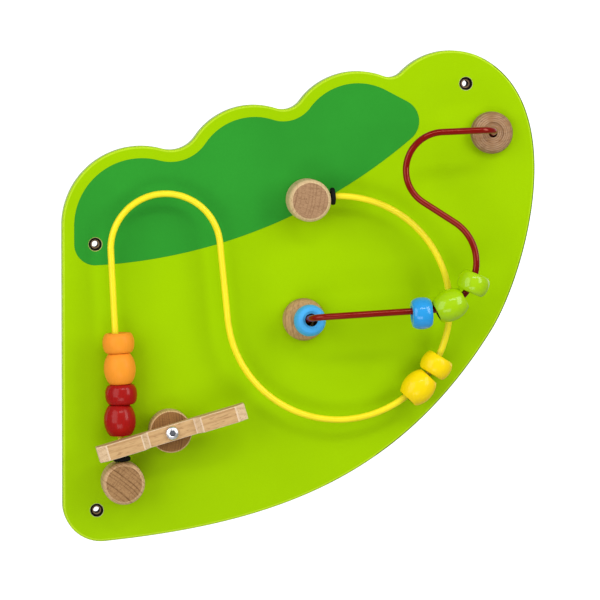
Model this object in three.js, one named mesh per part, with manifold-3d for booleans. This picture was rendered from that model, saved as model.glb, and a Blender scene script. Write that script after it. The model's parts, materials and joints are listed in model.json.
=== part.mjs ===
// Wall-hung activity board: a lacquered board with two bent bead wires, wooden beads and a rocker lever.
// Millimetres, +X right, +Z up, the front faces -Y. The origin is on the board's back face, at its middle.
// Places on the board are (x, z); a height is measured out from the board's front face.

import * as THREE from 'three';
import { mergeVertices } from 'three/addons/utils/BufferGeometryUtils.js';
import Module from 'manifold-3d';

const wasm = await Module();
wasm.setup();

const radians = THREE.MathUtils.degToRad;
const place = (x, z) => new THREE.Vector2(x, z);

// Clearances
const FIT_GAP = 0.3;
const BEAD_PLAY = 2.5;
const BEAD_PASS_GAP = 1.6;

// Board outline
const BOARD_THICKNESS = 18;
const EDGE_ROUND = 2;
const LEFT_EDGE_X = -195.7;
const FIRST_LOBE_Z = 58.8;
const FIRST_LOBE_RADIUS = 66;
const SECOND_LOBE = place(-36, 99.3);
const SECOND_LOBE_RADIUS = 59.3;
const THIRD_LOBE = place(50.1, 126.8);
const THIRD_LOBE_RADIUS = 59.5;
const CREST = place(128.2, 145.8);
const CREST_RADIUS = 57.6;
const FIRST_VALLEY_RADIUS = 25;
const SECOND_VALLEY_RADIUS = 18;
const THIRD_VALLEY_RADIUS = 14;
const SHOULDER_ANGLE = radians(60);
const SHOULDER_PULL = 83;
const WAIST = place(162.2, -30);
const WAIST_HEADING = radians(-122);
const WAIST_PULL_ABOVE = 55;
const WAIST_PULL_BELOW = 145;
const CORNER_Z = -171.2;
const CORNER_RADIUS = 31.7;
const CORNER_ANGLE = radians(-84.6);
const CORNER_PULL = 142;

// Paint field
const PAINT_INSET = 11.6;
const PAINT_FILM = 0.3;
const PAINT_TIP = place(87.4, 146.9);
const PAINT_TIP_RADIUS = 13.5;
const PAINT_LOWER_RADIUS = 400;

// Fixing holes for wall screws
const UPPER_LEFT_HOLE = place(-168.3, 43.8);
const UPPER_RIGHT_HOLE = place(140.2, 175.9);
const LOWER_LEFT_HOLE = place(-167.6, -176.8);
const FIXING_HOLES = [UPPER_LEFT_HOLE, UPPER_RIGHT_HOLE, LOWER_LEFT_HOLE];
const FIXING_BORE = 6;
const FIXING_COUNTERBORE = 10.8;
const FIXING_COUNTERBORE_DEPTH = 4;

// Beech posts and bases
const POST_DIAMETER = 35;
const POST_HEIGHT = 30;
const POST_CHAMFER = 2.5;
const LOWER_POST = place(-146.9, -152.3);
const BASE_DIAMETER = 35;
const BASE_HEIGHT = 12;
const BASE_RIM_HEIGHT = 4.5;
const BASE_DISH_DIAMETER = 19;
const BASE_DISH_DEPTH = 1.4;
const CENTRE_BASE = place(4.5, -19.3);
const RIGHT_BASE = place(161.5, 135.2);

// Bead wires
const WIRE_DIAMETER = 5.5;
const WIRE_INSERT = 12;
const LEG_INSERT = 8.2;
const WIRE_HEIGHT = 18;
const ARCH_CENTRE = place(-111.5, 40.9);
const ARCH_RADIUS = 45.2;
const LOOP_BEARING = radians(-19.2);
const LOOP_RADIUS = 92.6;
const YELLOW_STRAIGHT = 64;
const UPPER_POST_ANGLE = radians(105.5);
const LOWER_BEND = place(103.7, 29.6);
const LOWER_BEND_RADIUS = 39.1;
const UPPER_BEND_BEARING = radians(81.1);
const UPPER_BEND_RADIUS = 31.3;
const RED_STRAIGHT = 31;
const ELBOW_RADIUS = 14;
const CENTRE_LEG_LEAN = place(3.5, 4.1);
const RIGHT_LEG_LEAN = place(-3.2, 3.5);

// Rubber rings on the yellow wire's ends
const RING_DIAMETER = 14.5;
const RING_THICKNESS = 4;
const RING_ROUND = 1.2;

// Beads
const BEAD_DIAMETER = 26.4;
const BARREL_LENGTH = 25.4;
const BARREL_FACE_DIAMETER = 17.4;
const FLAT_LENGTH = 16.6;
const FLAT_FACE_DIAMETER = 18.6;
const BEAD_MOUTH = 0.9;
const YELLOW_BEADS_ANGLE = radians(-45);
const CENTRE_BEAD_HANG = radians(-25);

// Rocker lever
const LEVER_BASE_DIAMETER = 35;
const LEVER_BASE_HEIGHT = 22;
const LEVER_BASE_CHAMFER = 1;
const PIVOT = place(-107.5, -110.2);
const LEVER_LENGTH = 127;
const LEVER_WIDTH = 13.5;
const LEVER_ARM_DEPTH = 17;
const LEVER_WAIST_DEPTH = 10;
const LEVER_WAIST_LENGTH = 40.5;
const LEVER_SLOPE = 4.8;
const LEVER_END_LENGTH = 8;
const LEVER_END_DEPTH = 11.5;
const LEVER_EDGE = 0.7;

// Pivot bolt, washer and nut
const BOLT_DIAMETER = 6;
const BOLT_HEAD_DIAMETER = 11;
const BOLT_HEAD_HEIGHT = 3.6;
const BOLT_SOCKET = 4;
const BOLT_SOCKET_DEPTH = 2.2;
const WASHER_DIAMETER = 13;
const WASHER_THICKNESS = 1.2;
const NUT_FLANGE_DIAMETER = 17;
const NUT_FLANGE_THICKNESS = 1.5;
const NUT_BARREL_DIAMETER = 8.6;
const NUT_LENGTH = 10;

// Wood screws from the back
const SCREW_DIAMETER = 4;
const SCREW_HEAD_DIAMETER = 8;
const SCREW_RIM = 0.5;
const SCREW_TIP = 5;
const SCREW_TIP_DIAMETER = 1;
const POST_SCREW_BITE = 12;
const BASE_SCREW_BITE = 7;
const BASE_SCREW_SPREAD = 21;

// Fineness of round forms
const OUTLINE_STEP = radians(11);
const OUTLINE_CHORD = 13;
const ROUND_SIDES = 24;
const BEAD_SIDES = 16;
const BEAD_ARC_STEPS = 4;
const HOLE_SIDES = 16;
const WIRE_SIDES = 10;
const YELLOW_STEP = 10;
const RED_STEP = 5;

// Values that follow from the driving dimensions
const POST_RADIUS = POST_DIAMETER / 2;
const BEAD_BORE = WIRE_DIAMETER + 2 * BEAD_PLAY;
const BEAD_HANG = BEAD_PLAY - FIT_GAP;
const RED_HEIGHT = WIRE_HEIGHT + BEAD_DIAMETER + BEAD_PASS_GAP;
const SOCKET_DIAMETER = WIRE_DIAMETER + 2 * FIT_GAP;
const BOLT_HOLE = BOLT_DIAMETER + 2 * FIT_GAP;
const LEVER_HEIGHT = LEVER_BASE_HEIGHT + WASHER_THICKNESS + FIT_GAP;
const FIRST_LOBE = place(LEFT_EDGE_X + FIRST_LOBE_RADIUS, FIRST_LOBE_Z);
const CORNER = place(LEFT_EDGE_X + CORNER_RADIUS, CORNER_Z);

// Solids and cuts

function solidOf(geometry) {
  const bare = geometry.clone();
  bare.deleteAttribute('normal');
  bare.deleteAttribute('uv');
  const merged = mergeVertices(bare, 1e-4);
  const corners = merged.index.array;
  const triangles = [];
  for (let i = 0; i < corners.length; i += 3) {
    const [a, b, c] = corners.slice(i, i + 3);
    if (a !== b && b !== c && c !== a) triangles.push(a, b, c);
  }
  return new wasm.Manifold(new wasm.Mesh({
    numProp: 3,
    vertProperties: new Float32Array(merged.attributes.position.array),
    triVerts: new Uint32Array(triangles),
  }));
}

function geometryOf(solid) {
  const mesh = solid.getMesh();
  const geometry = new THREE.BufferGeometry();
  geometry.setAttribute('position', new THREE.BufferAttribute(mesh.vertProperties, 3));
  geometry.setIndex(new THREE.BufferAttribute(mesh.triVerts, 1));
  geometry.computeVertexNormals();
  return geometry;
}

function cut(geometry, tools) {
  return geometryOf(tools.reduce((solid, tool) => solid.subtract(solidOf(tool)), solidOf(geometry)));
}

// Forms turned on a lathe: the profile is (radius, height) from the foot up, and height runs out of the board
function turned(profile, sides = ROUND_SIDES) {
  const points = profile.map(([radius, height]) => new THREE.Vector2(radius, height));
  return new THREE.LatheGeometry(points, sides).rotateX(Math.PI);
}

function rod(diameter, foot, top, sides = HOLE_SIDES) {
  return turned([[0, foot], [diameter / 2, foot], [diameter / 2, top], [0, top]], sides);
}

// A plate drawn on the board's face, its thickness running out of the board
function plate(points, thickness, edge) {
  return new THREE.ExtrudeGeometry(new THREE.Shape(points), {
    depth: thickness - 2 * edge,
    bevelEnabled: edge > 0,
    bevelThickness: edge,
    bevelSize: edge,
    bevelOffset: -edge,
    bevelSegments: 2,
  }).translate(0, 0, edge).rotateX(Math.PI / 2);
}

const spot = ({ x, y }, height) => new THREE.Vector3(x, -BOARD_THICKNESS - height, y);
const polar = (centre, radius, angle) =>
  place(centre.x + radius * Math.cos(angle), centre.y + radius * Math.sin(angle));
const bearing = (from, to) => Math.atan2(to.y - from.y, to.x - from.x);

// The angle nearest on from another, going round one way: 1 counter-clockwise, -1 clockwise
const turnOn = (angle, from, way) =>
  from + way * THREE.MathUtils.euclideanModulo(way * (angle - from), 2 * Math.PI);

// Outlines made of arcs that run into each other

function arc(centre, radius, from, to) {
  const sweep = Math.abs(to - from);
  const steps = Math.ceil(Math.max(sweep / OUTLINE_STEP, sweep * radius / OUTLINE_CHORD));
  return Array.from({ length: steps + 1 }, (_, i) => polar(centre, radius, from + (to - from) * i / steps));
}

// The point at given distances from two others, to the left of the line between them
function meeting(first, firstReach, second, secondReach) {
  const span = first.distanceTo(second);
  const along = (span ** 2 + firstReach ** 2 - secondReach ** 2) / (2 * span);
  const aside = Math.sqrt(firstReach ** 2 - along ** 2);
  return polar(polar(first, along, bearing(first, second)), aside, bearing(first, second) + Math.PI / 2);
}

// The wavy edge from the left edge over the lobes, with a rounded valley between each two lobes
function wavyEdge(lobes, valleyRadii, inset, endAngle) {
  const points = [];
  let from = Math.PI;
  lobes.forEach((lobe, i) => {
    const next = lobes[i + 1];
    if (!next) {
      points.push(...arc(lobe.centre, lobe.radius - inset, from, turnOn(endAngle, from, -1)));
      return;
    }
    const round = valleyRadii[i];
    const valley = meeting(lobe.centre, lobe.radius + round, next.centre, next.radius + round);
    const rise = bearing(lobe.centre, valley);
    const start = bearing(valley, lobe.centre);
    const end = turnOn(bearing(valley, next.centre), start, 1);
    points.push(...arc(lobe.centre, lobe.radius - inset, from, turnOn(rise, from, -1)));
    points.push(...arc(valley, round + inset, start, end).slice(1, -1));
    from = bearing(next.centre, valley);
  });
  return points;
}

const LOBES = [
  { centre: FIRST_LOBE, radius: FIRST_LOBE_RADIUS },
  { centre: SECOND_LOBE, radius: SECOND_LOBE_RADIUS },
  { centre: THIRD_LOBE, radius: THIRD_LOBE_RADIUS },
  { centre: CREST, radius: CREST_RADIUS },
];
const VALLEY_RADII = [FIRST_VALLEY_RADIUS, SECOND_VALLEY_RADIUS, THIRD_VALLEY_RADIUS];

function boardOutline() {
  const top = wavyEdge(LOBES, VALLEY_RADII, 0, SHOULDER_ANGLE);
  const shoulder = top.at(-1);
  const foot = polar(CORNER, CORNER_RADIUS, CORNER_ANGLE);
  const upper = new THREE.CubicBezierCurve(
    shoulder,
    polar(shoulder, SHOULDER_PULL, SHOULDER_ANGLE - Math.PI / 2),
    polar(WAIST, -WAIST_PULL_ABOVE, WAIST_HEADING),
    WAIST,
  );
  const lower = new THREE.CubicBezierCurve(
    WAIST,
    polar(WAIST, WAIST_PULL_BELOW, WAIST_HEADING),
    polar(foot, CORNER_PULL, CORNER_ANGLE + Math.PI / 2),
    foot,
  );
  const corner = arc(CORNER, CORNER_RADIUS, CORNER_ANGLE, -Math.PI);
  return [
    ...top,
    ...upper.getPoints(Math.ceil(upper.getLength() / OUTLINE_CHORD)).slice(1),
    ...lower.getPoints(Math.ceil(lower.getLength() / OUTLINE_CHORD)).slice(1),
    ...corner.slice(1),
  ];
}

// The paint field keeps an even margin under the lobes, ends in a round tip, and its lower left corner
// turns round the upper left fixing hole
function paintOutline() {
  const third = { centre: THIRD_LOBE, radius: THIRD_LOBE_RADIUS - PAINT_INSET };
  const cornerRadius = UPPER_LEFT_HOLE.x - LEFT_EDGE_X - PAINT_INSET;
  const lean = Math.asin((third.radius - PAINT_TIP_RADIUS) / third.centre.distanceTo(PAINT_TIP));
  const leave = bearing(third.centre, PAINT_TIP) + Math.PI / 2 - lean;
  const sweep = meeting(
    UPPER_LEFT_HOLE,
    PAINT_LOWER_RADIUS - cornerRadius,
    PAINT_TIP,
    PAINT_LOWER_RADIUS - PAINT_TIP_RADIUS,
  );
  const tipEnd = bearing(sweep, PAINT_TIP);
  const sweepEnd = bearing(sweep, UPPER_LEFT_HOLE);
  return [
    ...wavyEdge(LOBES.slice(0, 3), VALLEY_RADII, PAINT_INSET, leave),
    ...arc(PAINT_TIP, PAINT_TIP_RADIUS, leave, turnOn(tipEnd, leave, -1)),
    ...arc(sweep, PAINT_LOWER_RADIUS, tipEnd, turnOn(sweepEnd, tipEnd, -1)).slice(1),
    ...arc(UPPER_LEFT_HOLE, cornerRadius, sweepEnd, turnOn(Math.PI, sweepEnd, -1)).slice(1),
  ];
}

// Bead wires: straight runs and round bends in one path

class RoundBend extends THREE.Curve {
  constructor(centre, start, side, sweep) {
    super();
    Object.assign(this, { centre, start, side, sweep });
  }

  getPoint(t, target = new THREE.Vector3()) {
    const angle = this.sweep * t;
    return target.copy(this.centre)
      .addScaledVector(this.start, Math.cos(angle))
      .addScaledVector(this.side, Math.sin(angle));
  }
}

// A bend in a plane parallel to the board, from one bearing round its centre to another
function flatBend(centre, radius, height, from, to) {
  const way = Math.sign(to - from);
  const start = new THREE.Vector3(Math.cos(from), 0, Math.sin(from)).multiplyScalar(radius);
  const side = new THREE.Vector3(-Math.sin(from), 0, Math.cos(from)).multiplyScalar(radius * way);
  return new RoundBend(spot(centre, height), start, side, Math.abs(to - from));
}

// The bend that rounds off a corner between two straight runs, given as directions away from it
function elbow(corner, before, after) {
  const half = before.angleTo(after) / 2;
  const middle = before.clone().add(after).normalize();
  const centre = corner.clone().addScaledVector(middle, ELBOW_RADIUS / Math.sin(half));
  const start = corner.clone().addScaledVector(before, ELBOW_RADIUS / Math.tan(half)).sub(centre);
  const side = before.clone().multiplyScalar(-ELBOW_RADIUS);
  return new RoundBend(centre, start, side, Math.PI - 2 * half);
}

// The heading of the straight run from one bend to the next; a radius is positive where the path turns left
function heading(from, fromRadius, to, toRadius) {
  const slip = (toRadius - fromRadius) / from.distanceTo(to);
  return bearing(from, to) - Math.asin(THREE.MathUtils.clamp(slip, -1, 1));
}

function joined(bends, start, end) {
  const path = new THREE.CurvePath();
  let from = start;
  for (const bend of bends) {
    path.add(new THREE.LineCurve3(from, bend.getPoint(0)));
    path.add(bend);
    from = bend.getPoint(1);
  }
  if (end) path.add(new THREE.LineCurve3(from, end));
  return path;
}

function tube(path, diameter, step) {
  const section = new THREE.Shape(Array.from({ length: WIRE_SIDES }, (_, i) =>
    polar(place(0, 0), diameter / 2, 2 * Math.PI * i / WIRE_SIDES)));
  const steps = Math.ceil(path.getLength() / step);
  return new THREE.ExtrudeGeometry(section, { steps, bevelEnabled: false, extrudePath: path });
}

// Yellow wire: a straight leg from the lower post, an arch, a slanting run and a loop to the upper post
const LOOP_SPAN = Math.hypot(ARCH_RADIUS + LOOP_RADIUS, YELLOW_STRAIGHT);
const LOOP_CENTRE = polar(ARCH_CENTRE, LOOP_SPAN, LOOP_BEARING);
const UPPER_POST = polar(LOOP_CENTRE, LOOP_RADIUS, UPPER_POST_ANGLE);
const LEG_HEADING = heading(LOWER_POST, 0, ARCH_CENTRE, -ARCH_RADIUS);
const LEG = new THREE.Vector3(Math.cos(LEG_HEADING), 0, Math.sin(LEG_HEADING));
const SLANT_HEADING = heading(ARCH_CENTRE, -ARCH_RADIUS, LOOP_CENTRE, LOOP_RADIUS);
const WIRE_END = POST_RADIUS - WIRE_INSERT;
const WIRE_STOP_ANGLE = UPPER_POST_ANGLE - WIRE_END / LOOP_RADIUS;

function yellowPath(endAngle) {
  const archStart = LEG_HEADING + Math.PI / 2;
  const archEnd = turnOn(SLANT_HEADING + Math.PI / 2, archStart, -1);
  const loopStart = SLANT_HEADING - Math.PI / 2;
  const loopEnd = turnOn(endAngle, loopStart, 1);
  return joined(
    [
      flatBend(ARCH_CENTRE, ARCH_RADIUS, WIRE_HEIGHT, archStart, archEnd),
      flatBend(LOOP_CENTRE, LOOP_RADIUS, WIRE_HEIGHT, loopStart, loopEnd),
    ],
    spot(LOWER_POST, WIRE_HEIGHT).addScaledVector(LEG, WIRE_END),
  );
}

// Red wire: a leg up from the centre base, a run, two opposite bends, a run and a leg down to the right base
const BEND_SPAN = Math.hypot(LOWER_BEND_RADIUS + UPPER_BEND_RADIUS, RED_STRAIGHT);
const UPPER_BEND = polar(LOWER_BEND, BEND_SPAN, UPPER_BEND_BEARING);
const RUN_START = CENTRE_BASE.clone().add(CENTRE_LEG_LEAN);
const RUN_END = RIGHT_BASE.clone().add(RIGHT_LEG_LEAN);
const RUN_HEADING = heading(RUN_START, 0, LOWER_BEND, LOWER_BEND_RADIUS);
const RUN = new THREE.Vector3(Math.cos(RUN_HEADING), 0, Math.sin(RUN_HEADING));
const legOf = (base, top) => spot(top, RED_HEIGHT).sub(spot(base, BASE_HEIGHT)).normalize();
const CENTRE_LEG = legOf(CENTRE_BASE, RUN_START);
const RIGHT_LEG = legOf(RIGHT_BASE, RUN_END);
const legFoot = (base, leg) => spot(base, BASE_HEIGHT).addScaledVector(leg, -LEG_INSERT);

function redPath() {
  const backHeading = heading(LOWER_BEND, LOWER_BEND_RADIUS, UPPER_BEND, -UPPER_BEND_RADIUS);
  const lastHeading = heading(UPPER_BEND, -UPPER_BEND_RADIUS, RUN_END, 0);
  const lowerStart = RUN_HEADING - Math.PI / 2;
  const lowerEnd = turnOn(backHeading - Math.PI / 2, lowerStart, 1);
  const upperStart = backHeading + Math.PI / 2;
  const upperEnd = turnOn(lastHeading + Math.PI / 2, upperStart, -1);
  const lastRun = new THREE.Vector3(-Math.cos(lastHeading), 0, -Math.sin(lastHeading));
  return joined(
    [
      elbow(spot(RUN_START, RED_HEIGHT), CENTRE_LEG.clone().negate(), RUN),
      flatBend(LOWER_BEND, LOWER_BEND_RADIUS, RED_HEIGHT, lowerStart, lowerEnd),
      flatBend(UPPER_BEND, UPPER_BEND_RADIUS, RED_HEIGHT, upperStart, upperEnd),
      elbow(spot(RUN_END, RED_HEIGHT), lastRun, RIGHT_LEG.clone().negate()),
    ],
    legFoot(CENTRE_BASE, CENTRE_LEG),
    legFoot(RIGHT_BASE, RIGHT_LEG),
  );
}

// Pieces

function piece(name, geometry, [color, roughness, metalness = 0]) {
  const mesh = new THREE.Mesh(geometry, new THREE.MeshStandardMaterial({ color, roughness, metalness }));
  mesh.name = name;
  return mesh;
}

const LIME = [0x9ecb00, 0.3];
const DARK_GREEN = [0x349b33, 0.35];
const BEECH = [0xc9a06c, 0.6];
const STEEL = [0xb8bcc2, 0.3, 1];
const RUBBER = [0x151515, 0.75];
const YELLOW_COAT = [0xf2e733, 0.35];
const RED_COAT = [0xa01818, 0.3];
const RED_PAINT = [0xb31f1c, 0.4];
const ORANGE_PAINT = [0xf59431, 0.45];
const YELLOW_PAINT = [0xf6d714, 0.35];
const BLUE_PAINT = [0x2f98dc, 0.25];
const GREEN_PAINT = [0x9ccc18, 0.25];

// Where each wood screw enters the board's back, and how far it bites into the piece in front
const baseScrews = (base) => [-1, 1].map((side) => base.clone().add(place(side * BASE_SCREW_SPREAD / 2, 0)));
const SCREWS = [
  { name: 'upper_post_screw', at: UPPER_POST, bite: POST_SCREW_BITE },
  { name: 'lower_post_screw', at: LOWER_POST, bite: POST_SCREW_BITE },
  { name: 'centre_base_screw_left', at: baseScrews(CENTRE_BASE)[0], bite: BASE_SCREW_BITE },
  { name: 'centre_base_screw_right', at: baseScrews(CENTRE_BASE)[1], bite: BASE_SCREW_BITE },
  { name: 'right_base_screw_left', at: baseScrews(RIGHT_BASE)[0], bite: BASE_SCREW_BITE },
  { name: 'right_base_screw_right', at: baseScrews(RIGHT_BASE)[1], bite: BASE_SCREW_BITE },
];

// A countersunk screw with its head just under the back face; grown by a gap, it is the hole that takes it
function screwForm(bite, gap) {
  const back = FIT_GAP - BOARD_THICKNESS;
  const rim = back + SCREW_RIM;
  const cone = (SCREW_HEAD_DIAMETER - SCREW_DIAMETER) / 2;
  return turned([
    [0, back - 3 * gap],
    [SCREW_HEAD_DIAMETER / 2 + gap, back - 3 * gap],
    [SCREW_HEAD_DIAMETER / 2 + gap, rim],
    [SCREW_DIAMETER / 2 + gap, rim + cone],
    [SCREW_DIAMETER / 2 + gap, bite - SCREW_TIP],
    [SCREW_TIP_DIAMETER / 2 + gap, bite + gap],
    [0, bite + gap],
  ], HOLE_SIDES);
}

function makeBoard() {
  const face = (form, { x, y }) => form.translate(x, -BOARD_THICKNESS, y);
  const holes = FIXING_HOLES.flatMap((hole) => [
    face(rod(FIXING_BORE, -BOARD_THICKNESS - 1, 1), hole),
    face(rod(FIXING_COUNTERBORE, -FIXING_COUNTERBORE_DEPTH, 1), hole),
  ]);
  const screwHoles = SCREWS.map(({ at, bite }) => face(screwForm(bite, FIT_GAP), at));
  const fromBack = (diameter, depth) =>
    rod(diameter + 2 * FIT_GAP, -BOARD_THICKNESS - 1, depth + 2 * FIT_GAP - BOARD_THICKNESS);
  const boltHoles = [
    rod(BOLT_HOLE, -BOARD_THICKNESS - 1, 1),
    fromBack(NUT_BARREL_DIAMETER, NUT_LENGTH),
    fromBack(NUT_FLANGE_DIAMETER, NUT_FLANGE_THICKNESS),
  ].map((form) => face(form, PIVOT));
  const blank = plate(boardOutline(), BOARD_THICKNESS, EDGE_ROUND);
  return piece('board', cut(blank, [...holes, ...screwHoles, ...boltHoles]), LIME);
}

function makePaintField() {
  const film = plate(paintOutline(), PAINT_FILM, 0);
  const openings = [
    rod(FIXING_COUNTERBORE, -1, 1).translate(UPPER_LEFT_HOLE.x, 0, UPPER_LEFT_HOLE.y),
    rod(POST_DIAMETER + 2 * FIT_GAP, -1, 1, ROUND_SIDES).translate(UPPER_POST.x, 0, UPPER_POST.y),
  ];
  const field = piece('dark_green_field', cut(film, openings), DARK_GREEN);
  field.position.y = -BOARD_THICKNESS;
  return field;
}

function standing(name, form, base, cuts) {
  const seat = spot(base, 0);
  const tools = cuts.map((tool) => tool.translate(-seat.x, -seat.y, -seat.z));
  const mesh = piece(name, tools.length ? cut(form, tools) : form, BEECH);
  mesh.position.copy(seat);
  return mesh;
}

const screwHolesAt = (base) => SCREWS
  .filter(({ at }) => at.distanceTo(base) < BASE_DIAMETER / 2)
  .map(({ at, bite }) => {
    const seat = spot(at, 0);
    return screwForm(bite, FIT_GAP).translate(seat.x, seat.y, seat.z);
  });

function makePost(name, base) {
  const form = turned([
    [0, 0],
    [POST_RADIUS, 0],
    [POST_RADIUS, POST_HEIGHT - POST_CHAMFER],
    [POST_RADIUS - POST_CHAMFER, POST_HEIGHT],
    [0, POST_HEIGHT],
  ]);
  const socket = tube(yellowPath(UPPER_POST_ANGLE), SOCKET_DIAMETER, YELLOW_STEP);
  return standing(name, form, base, [socket, ...screwHolesAt(base)]);
}

// A turned base with a domed shoulder and a shallow dish round the wire's hole
function makeBase(name, base, leg) {
  const radius = BASE_DIAMETER / 2;
  const dish = BASE_DISH_DIAMETER / 2;
  const dome = Array.from({ length: 5 }, (_, i) => {
    const angle = i / 4 * Math.PI / 2;
    const rise = (BASE_HEIGHT - BASE_RIM_HEIGHT) * Math.sin(angle);
    return [dish + (radius - dish) * Math.cos(angle), BASE_RIM_HEIGHT + rise];
  });
  const form = turned([
    [0, 0],
    [radius, 0],
    ...dome,
    [dish - BASE_DISH_DEPTH, BASE_HEIGHT - BASE_DISH_DEPTH],
    [0, BASE_HEIGHT - BASE_DISH_DEPTH],
  ]);
  const foot = legFoot(base, leg).addScaledVector(leg, -FIT_GAP);
  const top = spot(base, BASE_HEIGHT).addScaledVector(leg, WIRE_DIAMETER);
  const socket = tube(new THREE.LineCurve3(foot, top), SOCKET_DIAMETER, BASE_HEIGHT);
  return standing(name, form, base, [socket, ...screwHolesAt(base)]);
}

function makeLeverBase() {
  const radius = LEVER_BASE_DIAMETER / 2;
  const form = turned([
    [0, 0],
    [radius, 0],
    [radius, LEVER_BASE_HEIGHT - LEVER_BASE_CHAMFER],
    [radius - LEVER_BASE_CHAMFER, LEVER_BASE_HEIGHT],
    [0, LEVER_BASE_HEIGHT],
  ]);
  const seat = spot(PIVOT, 0);
  const hole = rod(BOLT_HOLE, -1, LEVER_BASE_HEIGHT + 1).translate(seat.x, seat.y, seat.z);
  return standing('lever_base', form, PIVOT, [hole]);
}

// A ring with its outer corners rounded off, its axis along its height, middle at the origin
function ring(outer, inner, thickness, round) {
  const half = thickness / 2;
  return turned([
    [inner / 2, -half],
    [outer / 2 - round, -half],
    [outer / 2, round - half],
    [outer / 2, half - round],
    [outer / 2 - round, half],
    [inner / 2, half],
    [inner / 2, -half],
  ], HOLE_SIDES);
}

const OUTWARD = new THREE.Vector3(0, -1, 0);

function onAxis(mesh, middle, axis) {
  mesh.position.copy(middle);
  mesh.quaternion.setFromUnitVectors(OUTWARD, axis);
  return mesh;
}

const tangentAt = (angle) => new THREE.Vector3(-Math.sin(angle), 0, Math.cos(angle));
const UPPER_RING_ANGLE =
  UPPER_POST_ANGLE - Math.asin((POST_RADIUS + FIT_GAP + RING_THICKNESS / 2) / LOOP_RADIUS);
const LOWER_RING_REACH = POST_RADIUS + FIT_GAP + RING_THICKNESS / 2;

function makeRings() {
  const form = () => ring(RING_DIAMETER, SOCKET_DIAMETER, RING_THICKNESS, RING_ROUND);
  const upperSpot = spot(polar(LOOP_CENTRE, LOOP_RADIUS, UPPER_RING_ANGLE), WIRE_HEIGHT);
  const lowerSpot = spot(LOWER_POST, WIRE_HEIGHT).addScaledVector(LEG, LOWER_RING_REACH);
  return [
    onAxis(piece('upper_rubber_ring', form(), RUBBER), upperSpot, tangentAt(UPPER_RING_ANGLE)),
    onAxis(piece('lower_rubber_ring', form(), RUBBER), lowerSpot, LEG),
  ];
}

// Rocker lever: it rests where its lower edge meets the rubber ring on the lower post
function restTilt() {
  const offAxis = Math.min(LEVER_HEIGHT - WIRE_HEIGHT, RING_DIAMETER / 2);
  const halfWidth = Math.sqrt((RING_DIAMETER / 2) ** 2 - offAxis ** 2);
  const ringTop = polar(LOWER_POST, LOWER_RING_REACH + RING_THICKNESS / 2, LEG_HEADING);
  const edge = polar(ringTop, halfWidth, LEG_HEADING + Math.PI / 2);
  const fall = bearing(edge, PIVOT);
  return fall - Math.asin((LEVER_WIDTH / 2 + FIT_GAP) / edge.distanceTo(PIVOT));
}

const REST_TILT = restTilt();

function makeLever() {
  const end = LEVER_LENGTH / 2;
  const waist = LEVER_WAIST_LENGTH / 2;
  const half = [
    [end, 0],
    [end, LEVER_END_DEPTH],
    [end - LEVER_END_LENGTH, LEVER_ARM_DEPTH],
    [waist + LEVER_SLOPE, LEVER_ARM_DEPTH],
    [waist, LEVER_WAIST_DEPTH],
  ];
  const mirrored = half.map(([x, depth]) => [-x, depth]).reverse();
  const side = new THREE.Shape([...half, ...mirrored].map(([x, depth]) => place(x, depth)));
  const blank = new THREE.ExtrudeGeometry(side, {
    depth: LEVER_WIDTH - 2 * LEVER_EDGE,
    bevelThickness: LEVER_EDGE,
    bevelSize: LEVER_EDGE,
    bevelOffset: -LEVER_EDGE,
    bevelSegments: 1,
  }).translate(0, 0, LEVER_EDGE - LEVER_WIDTH / 2).rotateX(Math.PI);
  const lever = piece('lever', cut(blank, [rod(BOLT_HOLE, -1, LEVER_ARM_DEPTH)]), BEECH);
  lever.position.copy(spot(PIVOT, LEVER_HEIGHT));
  lever.rotation.y = -REST_TILT;
  return lever;
}

function makePivot() {
  const headFoot = LEVER_HEIGHT + LEVER_WAIST_DEPTH + FIT_GAP;
  const headTop = headFoot + BOLT_HEAD_HEIGHT;
  const headRadius = BOLT_HEAD_DIAMETER / 2;
  const bolt = turned([
    [0, NUT_FLANGE_THICKNESS - BOARD_THICKNESS],
    [BOLT_DIAMETER / 2, NUT_FLANGE_THICKNESS - BOARD_THICKNESS],
    [BOLT_DIAMETER / 2, headFoot],
    [headRadius, headFoot],
    [headRadius, headFoot + BOLT_HEAD_HEIGHT * 0.35],
    [headRadius * 0.86, headFoot + BOLT_HEAD_HEIGHT * 0.75],
    [headRadius * 0.62, headTop],
    [0, headTop],
  ], HOLE_SIDES);
  const socket = rod(BOLT_SOCKET / Math.cos(Math.PI / 6), headTop - BOLT_SOCKET_DEPTH, headTop + 1, 6);
  const washer = ring(WASHER_DIAMETER, BOLT_HOLE, WASHER_THICKNESS, WASHER_THICKNESS / 4);
  const nutBack = FIT_GAP - BOARD_THICKNESS;
  const nut = turned([
    [BOLT_HOLE / 2, nutBack],
    [NUT_FLANGE_DIAMETER / 2, nutBack],
    [NUT_FLANGE_DIAMETER / 2, nutBack + NUT_FLANGE_THICKNESS],
    [NUT_BARREL_DIAMETER / 2, nutBack + NUT_FLANGE_THICKNESS],
    [NUT_BARREL_DIAMETER / 2, nutBack + NUT_LENGTH],
    [BOLT_HOLE / 2, nutBack + NUT_LENGTH],
    [BOLT_HOLE / 2, nutBack],
  ], HOLE_SIDES);
  const pieces = [
    piece('pivot_bolt', cut(bolt, [socket]), STEEL),
    piece('lever_washer', washer.translate(0, -LEVER_BASE_HEIGHT - WASHER_THICKNESS / 2, 0), STEEL),
    piece('pivot_nut', nut, STEEL),
  ];
  pieces.forEach((mesh) => mesh.position.copy(spot(PIVOT, 0)));
  return pieces;
}

function makeScrews() {
  return SCREWS.map(({ name, at, bite }) => {
    const screw = piece(name, screwForm(bite, 0), STEEL);
    screw.position.copy(spot(at, 0));
    return screw;
  });
}

// Beads

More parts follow.
